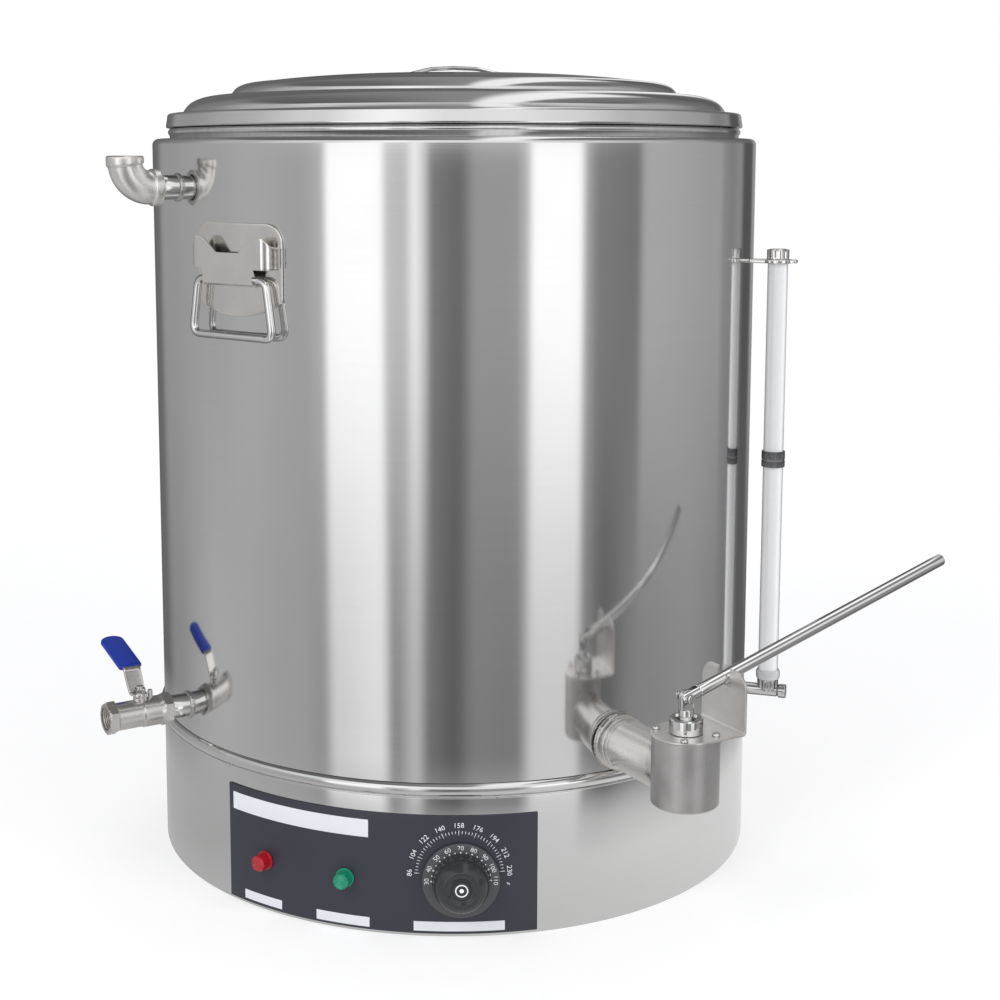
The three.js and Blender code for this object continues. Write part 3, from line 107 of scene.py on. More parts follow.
LEVER_LEAN = 16.5  # degrees that the lever rises at rest
GAUGE_REACH = 272.0  # axis of the level gauge
GAUGE_HEIGHT = 136.0  # its feed pipe
TUBE_BOTTOM = 146.3
TUBE_TOP = 491.3
PANEL_FACE = 251.6
INK = 0.00006  # thickness of print, in metres
DRUM_STEPS = 192  # points round the tank, a pipe and a small part
PIPE_STEPS = 64
SMALL_STEPS = 32
ORIGIN = np.eye(4)


# Places
def fitting(azimuth, reach=0.0, height=0.0):
    """A frame turned to an azimuth: its X is (sin a, -cos a, 0), its Y (cos a, sin a, 0), its Z up."""
    a = math.radians(azimuth)
    place = np.eye(4)
    place[:3, 0] = math.sin(a), -math.cos(a), 0
    place[:3, 1] = math.cos(a), math.sin(a), 0
    place[:3, 3] = place[:3, 0] * reach
    place[2, 3] += height
    return place


def shifted(place, x=0.0, y=0.0, z=0.0):
    """The same frame with its origin moved along its own axes."""
    moved = place.copy()
    moved[:3, 3] += place[:3, :3] @ np.array([x, y, z], float)
    return moved


def leaned(place, axis, angle):
    """The same frame turned about its own axis 0, 1 or 2, by the right-hand rule."""
    c, s = math.cos(math.radians(angle)), math.sin(math.radians(angle))
    i, j = [(1, 2), (2, 0), (0, 1)][axis]
    turn = np.eye(4)
    turn[i, i], turn[i, j], turn[j, i], turn[j, j] = c, -s, s, c
    return place @ turn


# Lines
def unit(vectors):
    """The same directions, each of length one."""
    return vectors / np.maximum(np.linalg.norm(vectors, axis=-1, keepdims=True), 1e-12)


def arc(centre, radius, start, end, steps, rise=None):
    """Points of centre + (radius cos a, rise sin a), for a from start to end."""
    a = np.radians(np.linspace(start, end, steps + 1))
    return np.stack([centre[0] + radius * np.cos(a), centre[1] + (rise or radius) * np.sin(a)], -1)


def line(*parts):
    """Single points and rows of points, one after the other."""
    return np.concatenate([np.atleast_2d(np.asarray(part, float)) for part in parts])


def softened(points, radius, closed=False, steps=5):
    """Each corner is replaced by a curve from one edge to the next: the weights (1-s)^2, 2s(1-s), s^2
    of the leaving point, the corner and the arriving point, which start radius*tan(half turn) away."""
    points = np.asarray(points, float)
    before = np.roll(points, 1, 0)
    after = np.roll(points, -1, 0)
    back, ahead = unit(before - points), unit(after - points)
    half = np.arccos(np.clip((back * ahead).sum(-1), -1, 1)) / 2
    room = np.minimum(np.linalg.norm(before - points, axis=-1), np.linalg.norm(after - points, axis=-1))
    reach = np.minimum(np.broadcast_to(radius, len(points)) / np.maximum(np.tan(half), 1e-6), room * 0.49)
    if not closed:
        reach = reach.copy()
        reach[[0, -1]] = 0
    s = np.linspace(0, 1, steps + 1)[None, :, None]
    start = (points + back * reach[:, None])[:, None]
    end = (points + ahead * reach[:, None])[:, None]
    curve = (1 - s) ** 2 * start + 2 * s * (1 - s) * points[:, None] + s**2 * end
    curve = curve.reshape(-1, points.shape[1])
    kept = np.linalg.norm(curve - np.roll(curve, 1, 0), axis=-1) > 1e-4
    if not closed:
        kept[0] = True
    return curve[kept]


def spread(points, step, closed=False):
    """The same line with points at most a step apart, by linear interpolation over its length."""
    if closed:
        return spread(np.concatenate([points, points[:1]]), step)[:-1]
    length = np.linalg.norm(np.diff(points, axis=0), axis=-1)
    counts = np.maximum(np.ceil(length / step).astype(int), 1)
    place = np.concatenate([[0.0], np.cumsum(length)])
    marks = np.concatenate([np.linspace(place[i], place[i + 1], n, False) for i, n in enumerate(counts)])
    marks = np.append(marks, place[-1])
    return np.stack([np.interp(marks, place, column) for column in points.T], -1)


def travelled(points):
    """The length run from the first point to each one."""
    return np.concatenate([[0], np.cumsum(np.linalg.norm(np.diff(points, axis=0), axis=-1))])


def joined(*coordinates):
    """Points whose coordinates are these arrays or numbers, stretched to one shape."""
    return np.stack(np.broadcast_arrays(*coordinates), -1)


def regular(flats, sides, angle):
    """Distance from the centre of a regular polygon to its edge at an angle in radians."""
    share = math.pi / sides
    return flats / 2 / np.cos((angle + share) % (2 * share) - share)


# Surfaces: grids of points with a mark for each way that closes on itself
def turned(profile, steps=DRUM_STEPS, closed=True, shape=None):
    """A profile of (radius, height) carried round Z: (r cos a, r sin a, z). shape(r, z, a) may change r."""
    profile = np.asarray(profile, float)
    a = np.linspace(0, 2 * np.pi, steps, False)[None, :]
    r, z = profile[:, :1], profile[:, 1:]
    if shape is not None:
        r = shape(r, z, a)
    return joined(r * np.cos(a), r * np.sin(a), z), closed, True


def faced_out(surface):
    """A surface's (x, y, z) stood up in a fitting's frame: x goes to the right, y up and z out."""
    points, rows, columns = surface
    return points[..., [2, 0, 1]], rows, columns


def turned_out(profile, steps=PIPE_STEPS, closed=True, shape=None):
    """The same round X, from a profile of (distance out, radius): (x, r cos a, r sin a)."""
    return faced_out(turned(np.asarray(profile, float)[:, ::-1], steps, closed, shape))


def swept(path, section, normal, closed=False):
    """A section (u, v) carried along a path: point + u * side + v * up, where side is the path's direction
    crossed with the normal, and up completes them. Its ends close to their middle."""
    path, section = np.asarray(path, float), np.asarray(section, float)
    way = np.roll(path, -1, 0) - np.roll(path, 1, 0)
    if not closed:
        way[0], way[-1] = path[1] - path[0], path[-1] - path[-2]
    way = unit(way)
    side = unit(np.cross(way, np.broadcast_to(np.asarray(normal, float), way.shape)))
    up = np.cross(side, way)
    if section.ndim == 2:
        section = np.broadcast_to(section, (len(path), *section.shape))
    points = path[:, None] + section[..., :1] * side[:, None] + section[..., 1:] * up[:, None]
    return (points, closed, True) if closed else capped((points, closed, True))


def capped(surface):
    """The first and last rows closed by a row that has shrunk to its middle."""
    points, rows, columns = surface
    ends = [np.broadcast_to(points[k].mean(0), points[k].shape)[None] for k in (0, -1)]
    return np.concatenate([ends[0], points, ends[1]]), rows, columns


def along(path, profile):
    """A closed profile of (distance along the path, radius) carried round a bent path that lies in X and Z:
    centre(s) + r (cos a * side + sin a * Y), with the side square to the path."""
    path = spread(np.asarray(path, float), 0.8)
    length = travelled(path)
    profile = np.asarray(profile, float)
    run = profile[:, 0]
    way = unit(joined(*(np.interp(run, length, column) for column in np.gradient(path, axis=0).T)))
    past = np.minimum(run, 0) + np.maximum(run - length[-1], 0)
    centre = joined(*(np.interp(run, length, column) for column in path.T)) + way * past[:, None]
    across = np.array([0.0, 1.0, 0.0])
    side = np.cross(way, across)
    a = np.linspace(0, 2 * np.pi, PIPE_STEPS, False)[None, :, None]
    ring = np.cos(a) * side[:, None] + np.sin(a) * across
    return centre[:, None] + profile[:, 1][:, None, None] * ring, True, True


def circle(radius, steps=20):
    """The points of a circle about the origin, with none doubled."""
    return arc((0, 0), radius, 0, 360, steps)[:-1]


def ball_ended(radius, length, edge):
    """A bar's profile of (distance, radius), from one end's middle round both edges to the other's."""
    return line(
        [0, 0], arc((edge, radius - edge), -edge, 0, 90, 4, edge),
        arc((length - edge, radius - edge), edge, 90, 0, 4), [length, 0],
    )


def slab(outline, low, high, edge, rings=2):
    """A flat piece: its star-shaped outline (x, y) grows from the middle, runs up a rounded edge and shrinks
    back, as middle + f * (outline - middle) at height z."""
    outline = np.asarray(outline, float)
    middle = outline.mean(0)
    size = np.abs(outline - middle).max()
    inset = 1 - edge / size
    fans = np.linspace(0, inset, rings + 1)
    bend = np.radians(np.linspace(0, 90, 4))
    f = np.concatenate([
        fans, inset + (1 - inset) * np.sin(bend[1:]), inset + (1 - inset) * np.cos(bend), fans[::-1][1:],
    ])
    foot, head = np.full(len(fans), low), np.full(len(fans) - 1, high)
    z = np.concatenate([foot, low + edge * (1 - np.cos(bend[1:])), high - edge * (1 - np.sin(bend)), head])
    flat = middle + f[:, None, None] * (outline - middle)
    return joined(flat[..., 0], flat[..., 1], z[:, None]), False, True


def wrapped(surface, radius):
    """A slab's (x, y, z) laid on the drum: x becomes the azimuth x/radius, y the height, z the depth."""
    points, rows, columns = surface
    a = points[..., 0] / radius
    r = radius + points[..., 2]
    return joined(r * np.cos(a), r * np.sin(a), points[..., 1]), rows, columns


def moved(surface, place):
    """The surface carried from its own frame to that place."""
    points, rows, columns = surface
    return points @ place[:3, :3].T + place[:3, 3], rows, columns


def quads(rows, columns, closed_rows, closed_columns):
    """The four-sided faces of a grid, joined up where a way closes on itself."""
    i = np.arange(rows if closed_rows else rows - 1)[:, None]
    j = np.arange(columns if closed_columns else columns - 1)[None, :]
    ahead, beside = (i + 1) % rows, (j + 1) % columns
    corners = [i * columns + j, i * columns + beside, ahead * columns + beside, ahead * columns + j]
    return np.stack(np.broadcast_arrays(*corners), -1).reshape(-1, 4)


def meshed(name, points, faces, mend):
    """A mesh in metres, from points in millimetres, after mend has worked on it."""
    mesh = bpy.data.meshes.new(name)
    mesh.from_pydata(points * MM, [], faces)
    bm = bmesh.new()
    bm.from_mesh(mesh)
    mend(bm)
    bm.to_mesh(mesh)
    bm.free()
    return mesh


def piece(name, surfaces, body, finish, stands_for=(), place=ORIGIN, facing=None, **dress):
    """One object of a body, from surfaces in millimetres. Doubled points are merged, so that poles and seams
    close. Faces are turned outwards, or towards facing where the surface is open and gets a wall."""
    points, faces, start = [], [], 0
    for grid, closed_rows, closed_columns in surfaces:
        rows, columns = grid.shape[:2]
        points.append(grid.reshape(-1, 3))
        faces.append(quads(rows, columns, closed_rows, closed_columns) + start)
        start += rows * columns

    def mend(bm):
        bmesh.ops.remove_doubles(bm, verts=bm.verts, dist=2e-6)
        bmesh.ops.dissolve_degenerate(bm, edges=bm.edges, dist=1e-7)
        if facing is None:
            bmesh.ops.recalc_face_normals(bm, faces=bm.faces)
            return
        total = sum(np.array(f.normal) * f.calc_area() for f in bm.faces)
        if total @ place[:3, :3] @ np.asarray(facing, float) < 0:
            bmesh.ops.reverse_faces(bm, faces=bm.faces)

    points = np.concatenate(points) @ place[:3, :3].T + place[:3, 3]
    return dressed(name, meshed(name, points, np.concatenate(faces), mend), body, finish, stands_for, **dress)


def dressed(name, mesh, body, finish, stands_for=(), sharp=32, wall=0.0, edge=0.0, slot=None):
    """Puts a mesh into the scene with its finish, smooth shading, body, slot and the nodes it replaces."""
    mesh.shade_smooth()
    mesh.set_sharp_from_angle(angle=math.radians(sharp))
    mesh.materials.append(material(finish))
    obj = bpy.data.objects.new(name, mesh)
    bpy.context.scene.collection.objects.link(obj)
    if wall:
        thick = obj.modifiers.new("Wall", "SOLIDIFY")
        thick.thickness = wall * MM
        thick.offset = -1
        thick.use_even_offset = True
    if edge:
        bevel = obj.modifiers.new("Edge", "BEVEL")
        bevel.width = edge * MM
        bevel.segments = 2
        bevel.limit_method = "ANGLE"
        bevel.angle_limit = math.radians(45)
    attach(obj, body)
    if stands_for:
        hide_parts(*stands_for)
    if slot or finish in SLOTS:
        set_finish(obj, slot or finish)
    return obj


def welded(name, surfaces, place=ORIGIN, slot="polished_steel", body="tank"):
    """A weld, in the slot of the metal that it joins."""
    piece(name, surfaces, body, "weld", place=place, slot=slot, sharp=60)


# Finishes
class Tree:
    """A node tree, with short ways to add and join nodes. Kinds are named without their ShaderNode."""

    def __init__(self, owner):
        owner.use_nodes = True
        self.nodes, self.links = owner.node_tree.nodes, owner.node_tree.links
        self.nodes.clear()

    def add(self, kind, feeds=None, **values):
        """A node, with its inputs from names or numbers: a socket is joined, and a value is set."""
        node = self.nodes.new("ShaderNode" + kind)
        feeds = dict(feeds or {})
        feeds.update({key.replace("_", " "): value for key, value in values.items()})
        for key, value in feeds.items():
            socket = node.inputs[key]
            if isinstance(value, bpy.types.NodeSocket):
                self.links.new(value, socket)
            elif hasattr(value, "__len__") and len(value) == 3 and socket.type == "RGBA":
                socket.default_value = (*value, 1)
            else:
                socket.default_value = value
        return node

    def calc(self, operation, *feeds, kind="Math"):
        """The result of one operation on sockets and numbers."""
        node = self.add(kind, dict(enumerate(feeds)))
        node.operation = operation
        return node.outputs[0]

    def mean(self, first, second):
        """Half the sum of two values."""
        return self.calc("MULTIPLY", self.calc("ADD", first, second), 0.5)

    def distance(self, x, y):
        """How far a point is from the tank's axis: sqrt(x x + y y)."""
        return self.calc("SQRT", self.calc("ADD", self.calc("MULTIPLY", x, x), self.calc("MULTIPLY", y, y)))

    def apart(self, vector):
        """A vector's three numbers."""
        return self.add("SeparateXYZ", Vector=vector).outputs

    def noise(self, vector, scale, detail=3.0, roughness=0.5):
        """A cloudy value about 0.5, from Blender's noise of a place times the scale."""
        feeds = {"Vector": vector, "Scale": scale, "Detail": detail, "Roughness": roughness}
        return self.add("TexNoise", feeds).outputs[0]

    def ramp(self, value, *stops, change="LINEAR"):
        """A value or colour read from stops (place, colour)."""
        node = self.add("ValToRGB", Fac=value)
        elements = node.color_ramp.elements
        for i, (place, colour) in enumerate(stops):
            element = elements[i] if i < 2 else elements.new(place)
            element.position = place
            colour = (colour,) * 3 if isinstance(colour, (int, float)) else colour
            element.color = (*colour, 1)
        node.color_ramp.interpolation = change
        return node.outputs["Color"]

    def span(self, value, low, high, to_low, to_high, change="LINEAR"):
        """A value's range low to high carried over to another range."""
        feeds = {"Value": value, "From Min": low, "From Max": high, "To Min": to_low, "To Max": to_high}
        node = self.add("MapRange", feeds)
        node.interpolation_type = change
        return node.outputs[0]


class Finish(Tree):
    """A material: its shader, its output and the place of a point on the object."""

    def __init__(self, name, **values):
        self.material = bpy.data.materials.new(name)
        super().__init__(self.material)
        self.shader = self.add("BsdfPrincipled", **values)
        self.output = self.add("OutputMaterial", Surface=self.shader.outputs["BSDF"])
        self.place = self.add("TexCoord").outputs["Object"]

    def stretched(self, x, y, z):
        """The object's coordinates, scaled by x, y and z."""
        return self.add("Mapping", Vector=self.place, Scale=(x, y, z)).outputs[0]

    def join(self, **sockets):
        """Leads sockets to the shader's inputs of these names."""
        for key, socket in sockets.items():
            self.links.new(socket, self.shader.inputs[key.replace("_", " ")])

    def bump(self, height, distance, strength):
        """Tilts the surface by the slope of a height."""
        feeds = {"Height": height, "Distance": distance, "Strength": strength}
        self.join(Normal=self.add("Bump", feeds).outputs[0])


def dim(colour, share):
    """A colour's share."""
    return tuple(c * share for c in colour)


def rolled_steel(name, colour, low, high, lines=0.5, turned_lines=True):
    """Polished sheet: fine grinding lines that follow the turning, soft cloudy wear and faint wiped marks.
    The lines are noise that changes 2600 times a metre along height and radius, and slowly round the tank."""
    f = Finish(name, Metallic=1.0)
    x, y, z = f.apart(f.place)
    fine, slow = 2600.0, 9.0 if turned_lines else 60.0
    level = f.calc("MULTIPLY", f.calc("ADD", z, f.distance(x, y)) if turned_lines else z, fine)
    grain = f.add("CombineXYZ", X=f.calc("MULTIPLY", x, slow), Y=f.calc("MULTIPLY", y, slow), Z=level)
    streaks = f.noise(grain.outputs[0], 1.0, 4.0, 0.6)
    clouds = f.noise(f.place, 7.0, 4.0, 0.55)
    smears = f.noise(f.stretched(30, 30, 6), 1.0, 3.0)
    wear = f.calc("MULTIPLY", f.calc("ADD", clouds, smears), (1 - lines) / 2)
    f.join(Roughness=f.span(f.calc("ADD", f.calc("MULTIPLY", streaks, lines), wear), 0.3, 0.7, low, high))
    shade = f.calc("ADD", f.calc("MULTIPLY", clouds, 0.6), f.calc("MULTIPLY", streaks, 0.4))
    f.join(Base_Color=f.ramp(shade, (0.3, dim(colour, 0.93)), (0.68, colour)))
    f.bump(streaks, 0.00002, 0.25)
    return f.material


def bright_metal(name, colour, low, high, rim=1.0):
    """Polished rod, pipe or strip: faint cloudy wear in its gloss and shade, and an all but even surface.
    Where it turns away from the eye its shade falls to the rim's share, as chrome does in a light room."""
    f = Finish(name, Metallic=1.0)
    clouds = f.noise(f.place, 35.0, 4.0, 0.6)
    specks = f.noise(f.place, 420.0, 3.0)
    f.join(Roughness=f.span(f.mean(clouds, specks), 0.35, 0.65, low, high))
    shade = f.ramp(clouds, (0.3, dim(colour, 0.92)), (0.65, colour))
    # Painted shade: the colour falls to the rim's share where the surface turns away from the eye.
    facing = f.add("LayerWeight", Blend=0.5).outputs["Facing"]
    painted_edge_shade = f.ramp(facing, (0.3, 1.0), (0.46, rim), (0.72, rim), (0.9, 1.0))
    f.join(Base_Color=f.calc("MULTIPLY", shade, painted_edge_shade, kind="VectorMath"))
    f.bump(specks, 0.000002, 0.3)
    return f.material


def drawn_steel(name, colour, low, high):
    """The inside of the pot: polished at its rim, and below it duller, with drawing lines down its wall."""
    f = Finish(name)
    height = f.apart(f.place)[2]
    lines = f.noise(f.stretched(240, 240, 5), 1.0, 4.0)
    stains = f.noise(f.place, 9.0, 4.0)
    rim = 0.575, 0.588
    f.join(Metallic=f.span(height, *rim, 0.45, 1.0), Roughness=f.span(height, *rim, high, low))
    f.join(Base_Color=f.ramp(f.mean(lines, stains), (0.35, dim(colour, 0.85)), (0.65, colour)))
    return f.material


def blasted_steel(name, colour, low, high, grain, depth):
    """Cast or blasted metal: a fine pitted grain, duller in its hollows, with faint stains."""
    f = Finish(name, Metallic=1.0)
    pits = f.noise(f.place, grain, 5.0, 0.6)
    stains = f.noise(f.place, 45.0, 4.0)
    f.join(Roughness=f.span(f.calc("ADD", pits, stains), 0.7, 1.3, low, high))
    f.join(Base_Color=f.ramp(f.mean(pits, stains), (0.34, dim(colour, 0.8)), (0.6, colour)))
    f.bump(pits, depth, 0.5)
    return f.material


def moulded(name, colour, low, high, grain=1500.0, depth=0.00005, tint=0.8, **values):
    """Plastic or paint: a fine moulded grain with slight differences of shade and gloss."""
    f = Finish(name, **values)
    fine = f.noise(f.place, grain, 3.0)
    wide = f.noise(f.place, 25.0, 3.0)
    f.join(Roughness=f.span(wide, 0.3, 0.7, low, high))
    f.join(Base_Color=f.ramp(f.mean(fine, wide), (0.35, dim(colour, tint)), (0.62, colour)))
    f.bump(fine, depth, 0.4)
    return f.material


def lens(name, colour):
    """The coloured plastic of a lamp, which lets a little light through under a clear coat."""
    clear = {"Coat_Weight": 0.6, "Coat_Roughness": 0.05, "Transmission_Weight": 0.25}
    return moulded(name, colour, 0.08, 0.16, 300.0, 0.0001, 0.7, **clear)


def milky_with_painted_light(name, colour, low, high, glow=0.2):
    """A clear tube with a pale inside: white where it faces the eye, darker where its wall is edge on."""
    # The glow is painted light: the tube gives off light of its own though it is no lamp.
    f = Finish(name, IOR=1.49, Emission_Strength=glow)
    facing = f.add("LayerWeight", Blend=0.3).outputs["Facing"]
    clouds = f.noise(f.stretched(60, 60, 12), 1.0, 3.0)
    f.join(Roughness=f.span(clouds, 0.3, 0.7, low, high))
    # Painted shade: colour and glow darken where the wall turns edge on to the eye.
    edge = f.calc("ADD", facing, f.calc("MULTIPLY", clouds, 0.06))
    stops = (0.1, dim(colour, 0.84)), (0.22, colour), (0.4, dim(colour, 0.8)), (0.62, dim(colour, 0.4))
    shade = f.ramp(edge, *stops)
    f.join(Base_Color=shade, Emission_Color=shade)
    return f.material


def finishes():
    """Each finish by name: the way to make it, its colour, its least and greatest roughness and the rest."""
    looks = bpy.context.scene.tank_looks
    steel, plastic = tuple(looks.steel), tuple(looks.plastic)
    return {
        "polished_steel": (rolled_steel, steel, looks.gloss_low, looks.gloss_high),
        # For bright_steel the last number is the rim's share: painted shade at edges turned away from the
        # eye.
        "bright_steel": (bright_metal, (0.96, 0.96, 0.95), 0.05, 0.12, 0.4),
        "pot_steel": (drawn_steel, steel, 0.1, 0.34),
        "brushed_steel": (rolled_steel, dim(steel, 0.9), 0.24, 0.36, 0.6, False),
        "cast_steel": (blasted_steel, (0.96, 0.94, 0.91), 0.26, 0.36, 700.0, 0.000008),
        "valve_steel": (bright_metal, (0.78, 0.76, 0.735), 0.2, 0.28),
        "gate_steel": (blasted_steel, (0.6, 0.588, 0.58), 0.4, 0.5, 1400.0, 0.000004),
        # plate_steel is the gate's blasted steel made paler than gate_steel: a painted highlight for the
        # light on the plate's upward faces.
        "plate_steel": (blasted_steel, (0.94, 0.92, 0.9), 0.3, 0.42, 1400.0, 0.000003),
        "pressed_steel": (bright_metal, (0.86, 0.84, 0.81), 0.1, 0.2),
        "weld": (blasted_steel, (0.62, 0.6, 0.57), 0.18, 0.32, 300.0, 0.00008),
        "dark_chrome": (blasted_steel, (0.22, 0.22, 0.23), 0.14, 0.24, 500.0, 0.00004),
        # Painted shade at the edges again: brass keeps half its colour there, chrome a quarter.
        "brass": (bright_metal, (0.98, 0.97, 0.95), 0.08, 0.16, 0.5),
        "chrome": (bright_metal, (0.66, 0.66, 0.665), 0.06, 0.14, 0.25),
        "blue_vinyl": (moulded, tuple(looks.vinyl), 0.26, 0.4, 700.0, 0.00012),
        "grey_panel": (moulded, tuple(looks.panel), 0.36, 0.5, 2500.0, 0.00003, 0.88),
        "black_plastic": (moulded, plastic, 0.3, 0.46, 1800.0, 0.00006, 0.75),
        "ring_plastic": (moulded, (0.088, 0.088, 0.096), 0.34, 0.46, 1800.0, 0.00004, 0.8),
        "knob_plastic": (moulded, dim(plastic, 0.9), 0.08, 0.16, 900.0, 0.000005, 0.85),
        "label_film": (moulded, (0.78, 0.79, 0.83), 0.28, 0.4, 1500.0, 0.00002, 0.95),
        "print_white": (moulded, (0.9, 0.91, 0.93), 0.4, 0.55, 3000.0, 0.00001, 0.9),
        "red_lens": (lens, tuple(looks.red)),
        "green_lens": (lens, tuple(looks.green)),
        # Both carry a painted glow and painted shade at their edge-on walls; the ring's glow is half the
        # tube's.
        "clear_tube": (milky_with_painted_light, (0.8, 0.805, 0.81), 0.1, 0.2),
        "clear_ring": (milky_with_painted_light, (0.6, 0.605, 0.61), 0.06, 0.14, 0.1),
        "pale_plastic": (moulded, (0.86, 0.85, 0.8), 0.35, 0.5),
    }


def material(finish):
    """The finish's own material, made when it is first asked for."""
    name = "Look " + finish.replace("_", " ")
    make, *values = finishes()[finish]
    return bpy.data.materials.get(name) or make(name, *values)


# Body of the tank
def round_sheet(outside):
    """A sheet's closed section: its outer line and that line moved back along its normals by the wall."""
    way = unit(np.gradient(outside, axis=0))
    back = outside + joined(-way[:, 1], way[:, 0]) * WALL
    return np.concatenate([outside, back[::-1]])


def build_shell():
    """The outer wall, its shoulder and the neck inside it: one sheet's section turned round Z."""
    outside = line(
        [BODY, BEAD_TOP + GAP], [BODY, SHELL_TOP - 5], arc((BODY - 5, SHELL_TOP - 5), 5, 0, 90, 8),
        [238.0, SHELL_TOP],
    )
    neck = softened([[238.0, SHELL_TOP], [234.5, SHELL_TOP], [234.5, SHELL_TOP + 1.8]], 0.8)
    section = round_sheet(line(outside, neck[1:]))
    piece("tank_wall", [turned(spread(section, 40))], "tank", "polished_steel", ["outer_shell"], sharp=50)


def build_pot():
    """The pot: floor, wall and rolled rim, one section turned round Z."""
    rim = arc((234.0, RIM), 3.2, -51, 180, 16)
    outer = line([0, 116], arc((222, 126), 10, -90, 0, 8))
    inner = line([POT - WALL, RIM], arc((222, 126), 8.5, 0, -90, 8), [0, 117.5])
    section = line(outer, [POT, 560], rim, inner)
    piece(
        "inner_pot_liner", [turned(section, closed=False)], "tank", "pot_steel", ["inner_pot"], sharp=50,
        slot="polished_steel",
    )


def build_bead():
    """The rolled joint: a flat lip, a narrow groove and a half-round bead over the seam."""
    low, lip = BASE_TOP + GAP, 1.6
    section = line(
        [INSIDE, low],
        softened([
            [BODY + 1.0, low], [BODY + 1.7, low + 0.3], [BODY + 1.7, low + lip - 0.3],
            [BODY + 0.5, low + lip],
        ], 0.3),
        arc((BODY, low + lip + 4.7), 3.2, -64, 90, 20, 4.7), [INSIDE, BEAD_TOP],
    )
    piece("joint_bead_ring", [turned(section)], "tank", "polished_steel", ["joint_bead"], sharp=40)
    tacks = []
    for azimuth, size in (
        (-43.2, 1.5), (7.3, 1.5), (62, 1.2), (112, 1.3), (163, 1.5), (214, 1.3), (265, 1.2),
    ):
        drop = turned_out(line([-0.6, 0], arc((-0.6, 0), size, 0, 90, 8)[::-1]), 20, False)
        dome = (drop[0] * [0.55, 1.3, 0.8], *drop[1:])
        tacks.append(moved(dome, fitting(azimuth, BODY + 1.4, low + 0.9)))
    welded("bead_tack_welds", tacks)


def build_skirt():
    """The skirt of the base with the lip inside its foot: one section turned round Z."""
    outer = softened([[INSIDE, 0], [BODY, 0], [BODY, BASE_TOP], [INSIDE, BASE_TOP]], [0, 0.7, 0.5, 0], True)
    lip = line([INSIDE, 3.8], [237.5, 3.8], [237.5, 2.3], [INSIDE, 2.3])
    section = line(outer, lip)
    piece("base_wall", [turned(spread(section, 30))], "tank", "polished_steel", ["base_skirt"], sharp=50)


def build_lid():
    """The lid is one folded sheet: collar, band with a rolled hem, two steps, a shallow dome and the dish."""
    rise = 6.6
    step_top, top = BAND_TOP + 14.5, CROWN_TOP + rise
    band, crown, dish = 239.0, 168, 69
    share = np.linspace(0.05, 1, 12)
    dome = joined(crown + (dish - crown) * share, CROWN_TOP + rise * (1 - (1 - share) ** 2))
    outside = line(
        [229.0, LID_BOTTOM - 12],
        softened([
            [229.0, LID_BOTTOM - 8], [229.0, LID_BOTTOM], [band, LID_BOTTOM], [band - 1.4, BAND_TOP - 2.8],
        ], [0, 0.8, 1.4, 0]),
        arc((band - 3.9, BAND_TOP - 2.5), 2.5, 8, 80, 8),
        softened([[232.5, BAND_TOP - 0.3], [224.8, BAND_TOP - 0.2], [223.6, BAND_TOP + 3.4]], 1.4),
        arc((196, BAND_TOP), 28, 12, 90, 16, 14.5), arc((crown, step_top), 17, 4, 90, 12, 10.5), dome,
        arc((dish, top - 4), 4, 84, 160, 8), arc((52, DISH_FLOOR + 5), 5, -20, -90, 8), [26, DISH_FLOOR],
        [0, DISH_FLOOR],
    )
    piece("lid_cover", [turned(round_sheet(outside))], "lid", "polished_steel", ["lid"], sharp=50)


def rounded_bar(width, thickness):
    """The section of a flat bar with round edges, its thickness by its width."""
    x, r = width / 2 - thickness / 2, thickness / 2
    return line(arc((0, x), r, 0, 180, 6), arc((0, -x), r, 180, 360, 6))


def build_lid_handle():
    """A strap bent up from two feet, over an arch: a flat bar's section carried along the bent line."""
    foot = DISH_FLOOR + GAP + 1.2
    top = foot + 22.6
    half = softened([
        [50, foot], [45.5, foot], [41, top - 6.0], [20, top - 0.9], [0, top],
    ], [0, 3, 4, 30, 0], steps=8)
    route = np.concatenate([half, (half * [-1, 1])[::-1][1:]])
    path = joined(route[:, 0], 0, route[:, 1])
    bar = swept(spread(path, 3), rounded_bar(20, 2.4), (0, 1, 0))
    piece("lid_strap_handle", [bar], "lid", "bright_steel", ["lid_handle"], sharp=40)
    dot = turned(line([0, 0.9], arc((0, 0), 2.6, 90, 20, 5, 0.8)), 20, False)
    dots = [moved(dot, shifted(ORIGIN, x, 0, foot + 1.1)) for x in (47.2, -47.2)]
    welded("lid_handle_spot_welds", dots, body="lid")


